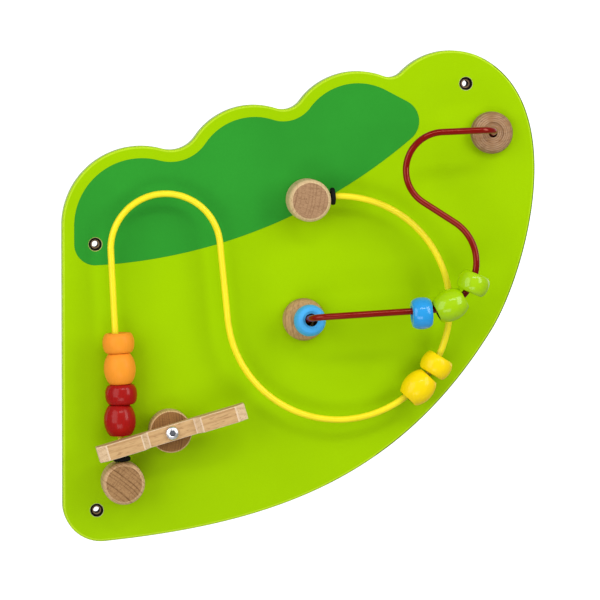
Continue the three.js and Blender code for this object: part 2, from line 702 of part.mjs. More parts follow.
// The side of a bead is part of an ellipse: on a barrel the flat faces cut it short, on a flat bead it turns
// right over into them
const BARREL = { length: BARREL_LENGTH, core: 0, turn: Math.acos(BARREL_FACE_DIAMETER / BEAD_DIAMETER) };
const FLAT = { length: FLAT_LENGTH, core: FLAT_FACE_DIAMETER / 2, turn: Math.PI / 2 };

// Radius and height of a bead's side, at a share of the way from its middle to its face
function beadSkin({ length, core, turn }, share) {
  const angle = share * turn;
  const radius = core + (BEAD_DIAMETER / 2 - core) * Math.cos(angle);
  return [radius, length / 2 * Math.sin(angle) / Math.sin(turn)];
}

const SKIN_SHARES = Array.from({ length: 91 }, (_, i) => i / 90);

function beadForm(bead) {
  const bore = BEAD_BORE / 2;
  const half = bead.length / 2;
  const skin = Array.from({ length: 2 * BEAD_ARC_STEPS + 1 }, (_, i) =>
    beadSkin(bead, i / BEAD_ARC_STEPS - 1));
  return turned([
    [bore, BEAD_MOUTH - half],
    [bore + BEAD_MOUTH, -half],
    ...skin,
    [bore + BEAD_MOUTH, half],
    [bore, half - BEAD_MOUTH],
    [bore, BEAD_MOUTH - half],
  ], BEAD_SIDES);
}

function makeBead(name, bead, paint, middle, axis) {
  return onAxis(piece(name, beadForm(bead), paint), middle, axis);
}

// How far a bead reaches towards a face tilted from its own, where it stands the given distance off its axis
function beadReach(bead, tilt, offAxis) {
  const samples = SKIN_SHARES.map((share) => {
    const [radius, height] = beadSkin(bead, share);
    const aside = Math.sqrt(Math.max(0, radius ** 2 - offAxis ** 2));
    return radius < offAxis ? 0 : aside * Math.sin(tilt) + height * Math.cos(tilt);
  });
  return Math.max(...samples);
}

// The stack on the leg stands on the lever's upper edge
function makeLegBeads() {
  const up = place(-Math.sin(REST_TILT), Math.cos(REST_TILT));
  const tilt = LEG_HEADING - Math.PI / 2 - REST_TILT;
  const reach = beadReach(BARREL, Math.abs(tilt), LEVER_HEIGHT - WIRE_HEIGHT);
  const rise = LEVER_WIDTH / 2 + FIT_GAP + reach - LOWER_POST.clone().sub(PIVOT).dot(up);
  let along = rise / Math.cos(tilt) - BARREL.length / 2;
  const aside = new THREE.Vector3(Math.sin(LEG_HEADING), 0, -Math.cos(LEG_HEADING));
  const stack = [
    ['red_barrel_bead', BARREL, RED_PAINT, 0],
    ['red_flat_bead', FLAT, RED_PAINT, BEAD_HANG],
    ['orange_barrel_bead', BARREL, ORANGE_PAINT, BEAD_HANG],
    ['orange_flat_bead', FLAT, ORANGE_PAINT, BEAD_HANG],
  ];
  return stack.map(([name, bead, paint, hang]) => {
    const middle = spot(LOWER_POST, WIRE_HEIGHT)
      .addScaledVector(LEG, along + bead.length / 2)
      .addScaledVector(aside, hang);
    along += bead.length + FIT_GAP;
    return makeBead(name, bead, paint, middle, LEG);
  });
}

// A bead on a bend hangs outwards as far as the wire's curve inside its bore leaves room
const hangOnBend = (bead, radius) => BEAD_HANG - bead.length ** 2 / (8 * radius);

// Half the angle that a bead takes up on a bend, seen from the bend's centre, with its share of a gap
function halfAngle(bead, radius) {
  const depth = radius + hangOnBend(bead, radius);
  const samples = SKIN_SHARES.map((share) => {
    const [reach, height] = beadSkin(bead, share);
    return Math.atan(height / (depth - reach));
  });
  return Math.max(...samples) + FIT_GAP / radius;
}

function bendBead(name, bead, paint, centre, radius, height, angle) {
  const middle = spot(polar(centre, radius + hangOnBend(bead, radius), angle), height);
  return makeBead(name, bead, paint, middle, tangentAt(angle));
}

function makeLoopBeads() {
  const flatAngle = YELLOW_BEADS_ANGLE + halfAngle(BARREL, LOOP_RADIUS) + halfAngle(FLAT, LOOP_RADIUS);
  const onLoop = (name, bead, angle) =>
    bendBead(name, bead, YELLOW_PAINT, LOOP_CENTRE, LOOP_RADIUS, WIRE_HEIGHT, angle);
  return [
    onLoop('yellow_barrel_bead', BARREL, YELLOW_BEADS_ANGLE),
    onLoop('yellow_flat_bead', FLAT, flatAngle),
  ];
}

// On the red wire one bead lies on the centre base, one at the end of the straight run, two on the bend
function makeRedBeads() {
  const hang = new THREE.Vector3(Math.cos(CENTRE_BEAD_HANG), 0, Math.sin(CENTRE_BEAD_HANG));
  hang.addScaledVector(CENTRE_LEG, -hang.dot(CENTRE_LEG)).setLength(BEAD_HANG);
  const lean = CENTRE_LEG.angleTo(OUTWARD);
  const clear = beadReach(FLAT, lean, 0) + FIT_GAP + hang.y;
  const centreSpot = spot(CENTRE_BASE, BASE_HEIGHT)
    .addScaledVector(CENTRE_LEG, clear / Math.cos(lean))
    .add(hang);
  const runEnd = polar(LOWER_BEND, LOWER_BEND_RADIUS, RUN_HEADING - Math.PI / 2);
  const slideSpot = spot(runEnd, RED_HEIGHT)
    .addScaledVector(RUN, -FLAT.length / 2 - FIT_GAP)
    .add(new THREE.Vector3(RUN.z, 0, -RUN.x).multiplyScalar(BEAD_HANG));
  const barrelAngle = RUN_HEADING - Math.PI / 2 + halfAngle(BARREL, LOWER_BEND_RADIUS);
  const flatAngle = barrelAngle + halfAngle(BARREL, LOWER_BEND_RADIUS) + halfAngle(FLAT, LOWER_BEND_RADIUS);
  const onBend = (name, bead, angle) =>
    bendBead(name, bead, GREEN_PAINT, LOWER_BEND, LOWER_BEND_RADIUS, RED_HEIGHT, angle);
  return [
    makeBead('centre_blue_bead', FLAT, BLUE_PAINT, centreSpot, CENTRE_LEG),
    makeBead('sliding_blue_bead', FLAT, BLUE_PAINT, slideSpot, RUN),
    onBend('green_barrel_bead', BARREL, barrelAngle),
    onBend('green_flat_bead', FLAT, flatAngle),
  ];
}

const activityBoard = new THREE.Group();
activityBoard.add(
  makeBoard(),
  makePaintField(),
  makePost('upper_post', UPPER_POST),
  makePost('lower_post', LOWER_POST),
  makeBase('centre_base', CENTRE_BASE, CENTRE_LEG),
  makeBase('right_base', RIGHT_BASE, RIGHT_LEG),
  makeLeverBase(),
  makeLever(),
  ...makePivot(),
  piece('yellow_wire', tube(yellowPath(WIRE_STOP_ANGLE), WIRE_DIAMETER, YELLOW_STEP), YELLOW_COAT),
  piece('red_wire', tube(redPath(), WIRE_DIAMETER, RED_STEP), RED_COAT),
  ...makeRings(),
  ...makeLegBeads(),
  ...makeLoopBeads(),
  ...makeRedBeads(),
  ...makeScrews(),
);

export default activityBoard;
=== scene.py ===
"""Looks of the wall-hung activity board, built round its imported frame.

Sizes are in millimetres on the board: x to the right, y up and z out from the board's back face.
"""

import json
import math

import bmesh
import bpy
from mathutils import Matrix, Vector


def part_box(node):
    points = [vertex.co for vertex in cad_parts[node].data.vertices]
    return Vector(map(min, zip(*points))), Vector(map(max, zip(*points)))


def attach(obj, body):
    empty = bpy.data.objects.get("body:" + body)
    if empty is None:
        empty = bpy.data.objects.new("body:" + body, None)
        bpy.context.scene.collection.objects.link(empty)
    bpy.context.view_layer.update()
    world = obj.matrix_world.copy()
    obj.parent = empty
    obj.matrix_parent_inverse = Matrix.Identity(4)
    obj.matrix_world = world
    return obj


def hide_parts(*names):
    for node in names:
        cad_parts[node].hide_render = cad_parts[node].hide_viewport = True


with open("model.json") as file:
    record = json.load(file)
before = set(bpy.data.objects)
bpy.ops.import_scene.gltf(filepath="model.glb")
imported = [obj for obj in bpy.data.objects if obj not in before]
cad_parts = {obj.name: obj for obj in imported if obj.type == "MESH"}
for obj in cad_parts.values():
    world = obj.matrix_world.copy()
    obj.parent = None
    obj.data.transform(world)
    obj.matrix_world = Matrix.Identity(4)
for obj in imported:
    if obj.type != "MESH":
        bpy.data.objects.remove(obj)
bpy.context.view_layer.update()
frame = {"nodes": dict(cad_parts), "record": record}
BODY_OF = {node: body for body, nodes in frame["record"]["behaviour"]["bodies"].items() for node in nodes}

MM = 0.001
QUARTER = math.pi / 2

# From the board's own axes to the frame's
BOARD = Matrix(((1, 0, 0, 0), (0, 0, -1, 0), (0, 1, 0, 0), (0, 0, 0, 1)))


def polar(centre, radius, angle):
    """The point at a distance and an angle from a centre."""
    return centre + radius * Vector((math.cos(angle), math.sin(angle)))


# Sizes that repeat the CAD part's: the board
FRONT = 18
EDGE_ROUND = 2
LEFT_EDGE = -195.7
FIRST_LOBE_RADIUS = 66
LOBES = [
    (Vector((LEFT_EDGE + FIRST_LOBE_RADIUS, 58.8)), FIRST_LOBE_RADIUS),
    (Vector((-36, 99.3)), 59.3),
    (Vector((50.1, 126.8)), 59.5),
    (Vector((128.2, 145.8)), 57.6),
]
VALLEY_RADII = [25, 18, 14]
SHOULDER_ANGLE = math.radians(60)
SHOULDER_PULL = 83
WAIST = Vector((162.2, -30))
WAIST_HEADING = math.radians(-122)
WAIST_PULL_UP = 55
WAIST_PULL_DOWN = 145
CORNER_RADIUS = 31.7
CORNER = Vector((LEFT_EDGE + CORNER_RADIUS, -171.2))
CORNER_ANGLE = math.radians(-84.6)
CORNER_PULL = 142
PAINT_FILM = 0.3
FIXING_HOLES = [Vector((-168.3, 43.8)), Vector((140.2, 175.9)), Vector((-167.6, -176.8))]
FIXING_DEPTH = 4
FIXING_HEAD_RADIUS = 5.4

# Sizes that repeat the CAD part's: posts, bases, lever and fastenings
LOWER_POST = Vector((-146.9, -152.3))
POST_RADIUS = 17.5
POST_HEIGHT = 30
CENTRE_BASE = Vector((4.5, -19.3))
RIGHT_BASE = Vector((161.5, 135.2))
BASE_HEIGHT = 12
DOME_WIDTH = 8
DOME_HEIGHT = 7.5
LEVER_BASE_HEIGHT = 22
LEVER_BASE_CHAMFER = 1
PIVOT = Vector((-107.5, -110.2))
CLEARANCE = 0.3
WASHER_RADIUS = 6.5
WASHER_THICKNESS = 1.2
LEVER_BACK = FRONT + LEVER_BASE_HEIGHT + WASHER_THICKNESS + CLEARANCE
LEVER_HALF_LENGTH = 63.5
LEVER_END_HEIGHT = 11.5
LEVER_FLAT_END = 55.5
LEVER_FLAT_START = 25.05
LEVER_HEIGHT = 17
LEVER_WAIST_END = 20.25
LEVER_WAIST_HEIGHT = 10
BOLT_RADIUS = 3
BOLT_HOLE_RADIUS = BOLT_RADIUS + CLEARANCE
BOLT_BACK = 1.5
BOLT_HEAD_RADIUS = 5.5
BOLT_HEAD_HEIGHT = 3.6
HEX_DEPTH = 2.2
NUT_FLANGE_RADIUS = 8.5
NUT_FLANGE_TOP = 1.8
NUT_RADIUS = 4.3
NUT_TOP = 10.3
SCREW_RADIUS = 2
SCREW_HEAD_RADIUS = 4
SCREW_HEAD_RIM = 0.8
SCREW_NECK = 2.8
SCREW_POINT = 5
SCREW_TIP_RADIUS = 0.5
POST_SCREW_BITE = 12
BASE_SCREW_BITE = 7
BASE_SCREW_REACH = 10.5

# Sizes that repeat the CAD part's: wires and beads
WIRE_RADIUS = 2.75
YELLOW_LEVEL = FRONT + 18
RED_LEVEL = FRONT + 46
ARCH = Vector((-111.5, 40.9))
ARCH_RADIUS = 45.2
LOOP_RADIUS = 92.6
SLANT_LENGTH = 64
LOOP_BEARING = math.radians(-19.2)
LOOP = polar(ARCH, math.hypot(ARCH_RADIUS + LOOP_RADIUS, SLANT_LENGTH), LOOP_BEARING)
UPPER_POST_ANGLE = math.radians(105.5)
UPPER_POST = polar(LOOP, LOOP_RADIUS, UPPER_POST_ANGLE)
WIRE_END = 5.5
LOWER_BEND = Vector((103.7, 29.6))
LOWER_BEND_RADIUS = 39.1
UPPER_BEND_RADIUS = 31.3
BACK_RUN_LENGTH = 31
UPPER_BEND_BEARING = math.radians(81.1)
UPPER_BEND = polar(
    LOWER_BEND, math.hypot(LOWER_BEND_RADIUS + UPPER_BEND_RADIUS, BACK_RUN_LENGTH), UPPER_BEND_BEARING
)
ELBOW_RADIUS = 14
LEG_INSERT = 8.2
RUN_START = CENTRE_BASE + Vector((3.5, 4.1))
RUN_END = RIGHT_BASE + Vector((-3.2, 3.5))
BEAD_RADIUS = 13.2
BEAD_BORE = 5.25
BARREL_LENGTH = 25.4
BARREL_FACE_RADIUS = 8.7
FLAT_LENGTH = 16.6
FLAT_CORE = 9.3
RING_RADIUS = 7.25
RING_HALF_LENGTH = 2

# Paint field, fitted to the photo
PAINT_INSET = 10
PAINT_TIP = Vector((82.5, 144.7))
PAINT_TIP_RADIUS = 18.6
PAINT_LOWER_RADIUS = 440
PAINT_SINK = 0.1
PAINT_EDGE_ROUND = 0.2
PAINT_HOLE_RADIUS = 6
PAINT_POST_GAP = 0.1

# Finer forms of the looks alone
FIXING_BORE = 2.6
FIXING_BARE_RADIUS = 3.7
FIXING_RIM = 0.4
EDGE_LINE_DEPTH = 1.7
SHADED_LINE_START = 0.35
SHADED_FACING = 0.35
FOOT_CHAMFER = 0.4
POST_ROUND = 5.6
POST_ROUND_TURN = math.radians(60)
LEVER_BASE_ROUNDS = [0.4, 0.6, 0.5]
GROOVE_RADIUS = 12.9
GROOVE_HALF_WIDTH = 0.45
GROOVE_DEPTH = 0.35
BASE_SOCKET_PLAY = 0.9
BARREL_EDGE_ROUND = 0.8
MOUTH_WIDTH = 2.2
MOUTH_DEPTH = 1.5
MOUTH_ROUND = 0.5
RING_ROUND = 1.7
RING_BORE_ROUND = 0.5
# Narrower than the CAD lever, to clear the lowest bead at the top of its travel
LEVER_HALF_WIDTH = 6.65
LEVER_EDGE_ROUND = 0.8
LEVER_HIGHLIGHT_LEVEL = 9
LEVER_HIGHLIGHT_FACING = 0.2
WASHER_ROUND = 0.25
WASHER_BORE_ROUND = 0.2
NUT_ROUNDS = [0.3, 0.3, 0.4, 0.3, 0.2, 0.5]
BOLT_END_CHAMFER = 0.4
BOLT_END_TAPER = 0.5
BOLT_HEAD_RIM = 1.0
HEAD_CHAMFER = 0.3
SCREW_CHAMFER_DEPTH = 0.2
HEX_RADIUS = 2.7
CROSS_REACH = 2.4
CROSS_SLOT = 0.55
CROSS_DEPTH = 1.9
CROSS_TAPER = 0.55

# How far cutters reach past a face, where ring sections start, and how finely pieces are turned
PAST = 1
DRILL_END = 30
RING_SECTION_START = 5
NUT_SECTION_START = 6
POST_ROUND_STEPS = 10
DOME_STEPS = 16
FINE_ROUND_STEPS = 3
CUTTER_SIDES = 48
SOCKET_SIDES = 32
PAINT_CUTTER_SIDES = 72
POST_SIDES = 96
BEAD_SIDES = 64
RING_SIDES = 48
BOLT_SIDES = 64
SCREW_SIDES = 40


# Flat outlines

def bearing(start, end):
    """The direction from one point to another."""
    return math.atan2(end.y - start.y, end.x - start.x)


def turn_on(angle, start, way):
    """The angle, counted on from start while going round one way."""
    return start + way * ((way * (angle - start)) % math.tau)


def arc(centre, radius, start, end, step=math.radians(3), longest=6):
    """Points along an arc, its steps kept small in angle and in length."""
    count = max(1, math.ceil(abs(end - start) / min(step, longest / radius)))
    return [polar(centre, radius, start + (end - start) * i / count) for i in range(count + 1)]


def bezier(a, b, c, d, count=60):
    """Points along a curve that leaves a towards b and reaches d from c."""
    spots = []
    for i in range(count + 1):
        t = i / count
        s = 1 - t
        spots.append(s**3 * a + 3 * s * s * t * b + 3 * s * t * t * c + t**3 * d)
    return spots


def meeting(first, first_reach, second, second_reach):
    """The point at given distances from two others, to the left of the line between them."""
    span = (second - first).length
    along = (span**2 + first_reach**2 - second_reach**2) / (2 * span)
    aside = math.sqrt(first_reach**2 - along**2)
    way = bearing(first, second)
    return polar(polar(first, along, way), aside, way + QUARTER)


def wavy_edge(lobes, inset, end_angle):
    """The wavy top, from the left edge over lobes and valleys to an angle on the last lobe."""
    spots = []
    start = math.pi
    for i, (centre, radius) in enumerate(lobes):
        if i == len(lobes) - 1:
            spots += arc(centre, radius - inset, start, turn_on(end_angle, start, -1))
            break
        after, after_radius = lobes[i + 1]
        valley_radius = VALLEY_RADII[i]
        valley = meeting(centre, radius + valley_radius, after, after_radius + valley_radius)
        rise = turn_on(bearing(centre, valley), start, -1)
        enter = bearing(valley, centre)
        leave = turn_on(bearing(valley, after), enter, 1)
        spots += arc(centre, radius - inset, start, rise)
        spots += arc(valley, valley_radius + inset, enter, leave)[1:-1]
        start = bearing(after, valley)
    return spots


def board_outline():
    """Clockwise: the wavy top, the long curved edge in two stretches, and the round lower left corner."""
    top = wavy_edge(LOBES, 0, SHOULDER_ANGLE)
    shoulder = top[-1]
    foot = polar(CORNER, CORNER_RADIUS, CORNER_ANGLE)
    above = polar(WAIST, -WAIST_PULL_UP, WAIST_HEADING)
    below = polar(WAIST, WAIST_PULL_DOWN, WAIST_HEADING)
    upper = bezier(shoulder, polar(shoulder, SHOULDER_PULL, SHOULDER_ANGLE - QUARTER), above, WAIST)
    lower = bezier(WAIST, below, polar(foot, CORNER_PULL, CORNER_ANGLE + QUARTER), foot)
    return top + upper[1:] + lower[1:] + arc(CORNER, CORNER_RADIUS, CORNER_ANGLE, -math.pi)[1:]


def paint_outline():
    """Clockwise: an even margin under three lobes, a round tip, a long sweep and a corner at the hole."""
    hole = FIXING_HOLES[0]
    third, third_lobe_radius = LOBES[2]
    third_radius = third_lobe_radius - PAINT_INSET
    corner_radius = hole.x - LEFT_EDGE - PAINT_INSET
    lean = math.asin((third_radius - PAINT_TIP_RADIUS) / (PAINT_TIP - third).length)
    leave = bearing(third, PAINT_TIP) + QUARTER - lean
    sweep_centre = meeting(
        hole, PAINT_LOWER_RADIUS - corner_radius, PAINT_TIP, PAINT_LOWER_RADIUS - PAINT_TIP_RADIUS
    )
    tip_end = bearing(sweep_centre, PAINT_TIP)
    sweep_end = bearing(sweep_centre, hole)
    return (
        wavy_edge(LOBES[:3], PAINT_INSET, leave)
        + arc(PAINT_TIP, PAINT_TIP_RADIUS, leave, turn_on(tip_end, leave, -1))
        + arc(sweep_centre, PAINT_LOWER_RADIUS, tip_end, turn_on(sweep_end, tip_end, -1))[1:]
        + arc(hole, corner_radius, sweep_end, turn_on(math.pi, sweep_end, -1))[1:]
    )


# Meshes

def linked(name, data):
    """A new object, linked to the scene."""
    obj = bpy.data.objects.new(name, data)
    bpy.context.scene.collection.objects.link(obj)
    return obj


def new_object(name, spots, faces, matrix=BOARD):
    """An object from points in millimetres, its faces turned outwards."""
    mesh = bpy.data.meshes.new(name)
    mesh.from_pydata([Vector(spot) * MM for spot in spots], [], faces)
    shape = bmesh.new()
    shape.from_mesh(mesh)
    bmesh.ops.recalc_face_normals(shape, faces=shape.faces)
    shape.to_mesh(mesh)
    shape.free()
    obj = linked(name, mesh)
    obj.matrix_world = matrix
    return obj


def standing_at(spot, level=FRONT):
    """The place of a piece that stands on the board, its own z pointing out of the board."""
    return BOARD @ Matrix.Translation(Vector((spot.x, spot.y, level)) * MM)


def strips(rings, sides, closed=False):
    """Quads between neighbouring rings of points."""
    faces = []
    following = rings[1:] + rings[:1] if closed else rings[1:]
    for low, high in zip(rings, following):
        for i in range(sides):
            j = (i + 1) % sides
            faces.append((low + i, low + j, high + j, high + i))
    return faces


def capped(rings, sides):
    """Quads between the rings, and a face over each end."""
    last = rings[-1]
    return strips(rings, sides) + [tuple(range(sides)), tuple(range(last, last + sides))]


def lathe(name, profile, matrix, sides):
    """A turned form from (radius, height) pairs, which start and end on the axis or close on themselves."""
    closed = profile[0][0] > 0
    body = profile if closed else profile[1:-1]
    spots = [
        (radius * math.cos(math.tau * i / sides), radius * math.sin(math.tau * i / sides), height)
        for radius, height in body
        for i in range(sides)
    ]
    rings = [sides * k for k in range(len(body))]
    faces = strips(rings, sides, closed)
    if not closed:
        for end, ring in ((profile[0], rings[0]), (profile[-1], rings[-1])):
            spots.append((0, 0, end[1]))
            faces += [(len(spots) - 1, ring + i, ring + (i + 1) % sides) for i in range(sides)]
    return new_object(name, spots, faces, matrix)


def rounded(profile, radii, steps=5):
    """A profile with the corners between its ends rounded off."""
    path = [Vector(spot) for spot in profile]
    spots = [tuple(path[0])]
    for before, corner, after, radius in zip(path, path[1:], path[2:], radii):
        if not radius:
            spots.append(tuple(corner))
            continue
        back = (before - corner).normalized()
        on = (after - corner).normalized()
        half = back.angle(on) / 2
        reach = radius / math.tan(half)
        centre = corner + (back + on).normalized() * radius / math.sin(half)
        start = bearing(centre, corner + back * reach)
        turn = bearing(centre, corner + on * reach) - start
        turn = (turn + math.pi) % math.tau - math.pi
        spots += [tuple(polar(centre, radius, start + turn * i / steps)) for i in range(steps + 1)]
    return spots + [tuple(path[-1])]


def inset(outline, distance):
    """A clockwise outline moved inwards by a distance."""
    moved = []
    for i, spot in enumerate(outline):
        ahead = outline[(i + 1) % len(outline)] - outline[i - 1]
        moved.append(spot + distance * Vector((ahead.y, -ahead.x)).normalized())
    return moved


def slab(name, outline, low, high, low_round, high_round, steps=6):
    """A plate between two levels with its edges rounded over."""
    turns = [QUARTER * i / steps for i in range(steps + 1)]
    bends = [(1 - math.sin(angle), 1 - math.cos(angle)) for angle in turns]
    levels = [(low + low_round * rise, low_round * aside) for rise, aside in reversed(bends)]
    levels += [(high - high_round * drop, high_round * aside) for drop, aside in bends]
    sides = len(outline)
    spots = [(p.x, p.y, level) for level, aside in levels for p in inset(outline, aside)]
    rings = [sides * k for k in range(len(levels))]
    return new_object(name, spots, capped(rings, sides))


def sweep(name, path, radius, sides=24):
    """A round rod along a path of points, its section carried on without twist."""
    spots = []
    across = None
    for i, spot in enumerate(path):
        ahead = (path[min(i + 1, len(path) - 1)] - path[max(i - 1, 0)]).normalized()
        across = ahead.orthogonal() if across is None else across - ahead * across.dot(ahead)
        across.normalize()
        over = ahead.cross(across)
        for k in range(sides):
            angle = math.tau * k / sides
            spots.append(spot + radius * (math.cos(angle) * across + math.sin(angle) * over))
    rings = [sides * k for k in range(len(path))]
    return new_object(name, spots, capped(rings, sides))


def drill(name, radius, low, matrix, sides=CUTTER_SIDES):
    """A plain round cutter that starts at a level and reaches past the piece."""
    return lathe(name, [(0, low), (radius, low), (radius, DRILL_END), (0, DRILL_END)], matrix, sides)


def apply_modifiers(obj):
    """Take the mesh that a piece's modifiers make as its own."""
    graph = bpy.context.evaluated_depsgraph_get()
    mesh = bpy.data.meshes.new_from_object(obj.evaluated_get(graph), depsgraph=graph)
    obj.modifiers.clear()
    obj.data = mesh


def cut(obj, cutters):
    """Take the cutters out of a piece; each cut face keeps its cutter's material."""
    for cutter in cutters:
        trim = obj.modifiers.new("trim", "BOOLEAN")
        trim.operation = "DIFFERENCE"
        trim.solver = "EXACT"
        trim.material_mode = "TRANSFER"
        trim.object = cutter
    apply_modifiers(obj)
    for cutter in cutters:
        bpy.data.objects.remove(cutter)
    return obj


def painted(obj, *materials):
    """A piece with its materials, of which the first is on every face so far."""
    for material in materials:
        obj.data.materials.append(material)
    return obj


def dress(obj, node, material=None, sharp=35):
    """Smooth shading, a material if one is given, the body that the piece belongs to, and its CAD node
    hidden.
    """
    if material:
        painted(obj, material)
    obj.data.shade_smooth()
    obj.data.set_sharp_from_angle(angle=math.radians(sharp))
    even = obj.modifiers.new("even_shading", "WEIGHTED_NORMAL")
    even.keep_sharp = True
    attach(obj, BODY_OF[node])
    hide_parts(node)
    return obj


# Materials

def rgb(red, green, blue):
    """A colour read off a screen, as the linear values that a shader takes."""
    channels = [c / 255 for c in (red, green, blue)]
    return tuple(c / 12.92 if c <= 0.04045 else ((c + 0.055) / 1.055) ** 2.4 for c in channels) + (1,)


class Shader:
    """A material's nodes, with short calls to add and join them."""

    def __init__(self, name, seed=0, **constants):
        self.seed = seed
        self.material = bpy.data.materials.new(name)
        self.material.use_nodes = True
        self.tree = self.material.node_tree
        self.surface = self.tree.nodes["Principled BSDF"]
        for socket, value in constants.items():
            self.surface.inputs[socket.replace("_", " ")].default_value = value

    def feed(self, socket, value):
        """Join a socket to another, or set its value."""
        if isinstance(value, bpy.types.NodeSocket):
            self.tree.links.new(value, socket)
        else:
            socket.default_value = value

    def add(self, kind, inputs, output=0, **settings):
        node = self.tree.nodes.new(kind)
        for key, value in settings.items():
            setattr(node, key, value)
        for key, value in inputs.items():
            self.feed(node.inputs[key], value)
        return node.outputs[output]

    def place(self, scale=(1, 1, 1), turn=(0, 0, 0)):
        """The spot in the piece's own axes."""
        spot = self.tree.nodes.new("ShaderNodeTexCoord").outputs["Object"]
        return self.add("ShaderNodeMapping", {"Vector": spot, "Scale": scale, "Rotation": turn})

    def stretched(self, spot, along):
        """A spot for a texture that is drawn out along z."""
        return self.add("ShaderNodeVectorMath", {0: spot, 1: (1, 1, along)}, operation="MULTIPLY")

    def split(self, vector):
        node = self.tree.nodes.new("ShaderNodeSeparateXYZ")
        self.feed(node.inputs[0], vector)
        return node.outputs

    def noise(self, spot, scale, detail=2.0, rough=0.5):
        return self.add(
            "ShaderNodeTexNoise",
            {"Vector": spot, "W": self.seed, "Scale": scale, "Detail": detail, "Roughness": rough},
            output="Fac",
            noise_dimensions="4D",
        )

    def math(self, operation, a, b=0.0):
        return self.add("ShaderNodeMath", {0: a, 1: b}, operation=operation)

    def length(self, a, b):
        return self.math("SQRT", self.math("ADD", self.math("MULTIPLY", a, a), self.math("MULTIPLY", b, b)))

    def curve(self, value, spots):
        """A value passed through a smooth curve over the given points."""
        output = self.add("ShaderNodeFloatCurve", {"Value": value})
        mapping = output.node.mapping
        mapping.curves[0].points[0].location = spots[0]
        mapping.curves[0].points[1].location = spots[-1]
        for spot in spots[1:-1]:
            mapping.curves[0].points.new(*spot)
        mapping.update()
        return output

    def span(self, value, low, high, new_low=0.0, new_high=1.0):
        """A value carried over from one range to another and held inside it."""
        return self.add(
            "ShaderNodeMapRange",
            {"Value": value, "From Min": low, "From Max": high, "To Min": new_low, "To Max": new_high},
        )

    def mix(self, share, a, b, blend="MIX"):
        node = self.tree.nodes.new("ShaderNodeMix")
        node.data_type = "RGBA"
        node.blend_type = blend
        self.feed(node.inputs["Factor"], share)
        self.feed(node.inputs[6], a)
        self.feed(node.inputs[7], b)
        return node.outputs[2]

    def bump(self, height, strength, distance):
        normal = self.add("ShaderNodeBump", {"Height": height, "Strength": strength, "Distance": distance})
        self.feed(self.surface.inputs["Normal"], normal)

    def colour(self, value):
        self.feed(self.surface.inputs["Base Color"], value)

    def roughness(self, value):
        self.feed(self.surface.inputs["Roughness"], value)


def shade(colour, factor):
    """A colour made lighter or darker."""
    return tuple(min(1, c * factor) for c in colour[:3]) + (1,)


def lacquer(name, colour, mottle, rough):
    """Sprayed lacquer: a faint cloudiness, fine dust grain and an orange-peel surface."""
    s = Shader(name, Specular_IOR_Level=0.04)
    spot = s.place()
    cloud = s.span(s.noise(spot, 16, 3), 0.3, 0.7)
    dust = s.span(s.noise(spot, 850, 1), 0.35, 0.65)
    tone = s.mix(cloud, shade(colour, 1 - mottle), shade(colour, 1 + mottle))
    s.colour(s.mix(s.math("MULTIPLY", dust, 0.35), tone, shade(colour, 1 - 1.5 * mottle)))
    s.roughness(s.span(s.noise(spot, 45, 4), 0.3, 0.7, rough - 0.04, rough + 0.06))
    s.bump(s.noise(spot, 420, 2), 0.05, 0.4 * MM)
    return s.material


def bead_paint(name, colour, grain, rough, coat, polish, seed):
    """Paint on turned wood: the grain telegraphs through it, along the bead's own axis."""
    s = Shader(name, seed, Coat_Weight=coat, Coat_Roughness=polish, Specular_IOR_Level=0.08)
    spot = s.place(scale=(1, 1, 0.12))
    fibre = s.span(s.noise(spot, 700, 4, 0.6), 0.3, 0.72)
    cloud = s.span(s.noise(s.place(), 90, 3), 0.3, 0.7)
    tone = s.mix(fibre, shade(colour, 1 - grain), shade(colour, 1 + 0.4 * grain))
    s.colour(s.mix(s.math("MULTIPLY", cloud, 0.5), tone, shade(colour, 1 - 0.6 * grain)))
    s.roughness(s.span(cloud, 0, 1, rough - 0.04, rough + 0.08))
    height = s.math("ADD", s.math("MULTIPLY", fibre, 0.6), s.noise(spot, 260, 2))
    s.bump(height, 0.05 + 0.25 * grain, 0.3 * MM)
    return s.material


def coated_rod(name, colour, rough, specular, gleam):
    """A dipped coat on a steel rod, a little uneven in tone; gleam tints its highlights."""
    s = Shader(name, Specular_IOR_Level=specular, Specular_Tint=gleam)
    spot = s.place()
    cloud = s.span(s.noise(spot, 60, 3), 0.3, 0.7)
    rub = s.span(s.noise(spot, 700, 2), 0.6, 0.75)
    tone = s.mix(cloud, shade(colour, 0.97), shade(colour, 1.04))
    s.colour(s.mix(s.math("MULTIPLY", rub, 0.12), tone, shade(colour, 0.85)))
    s.roughness(s.span(cloud, 0, 1, rough - 0.03, rough + 0.05))
    s.bump(s.noise(spot, 160, 2), 0.05, 0.4 * MM)
    return s.material


LATHE_PITCH = 1.65
# Painted highlight colour for the lathe rings
LATHE_RING_HIGHLIGHT = rgb(226, 202, 176)
RING_SWAY = 1.6


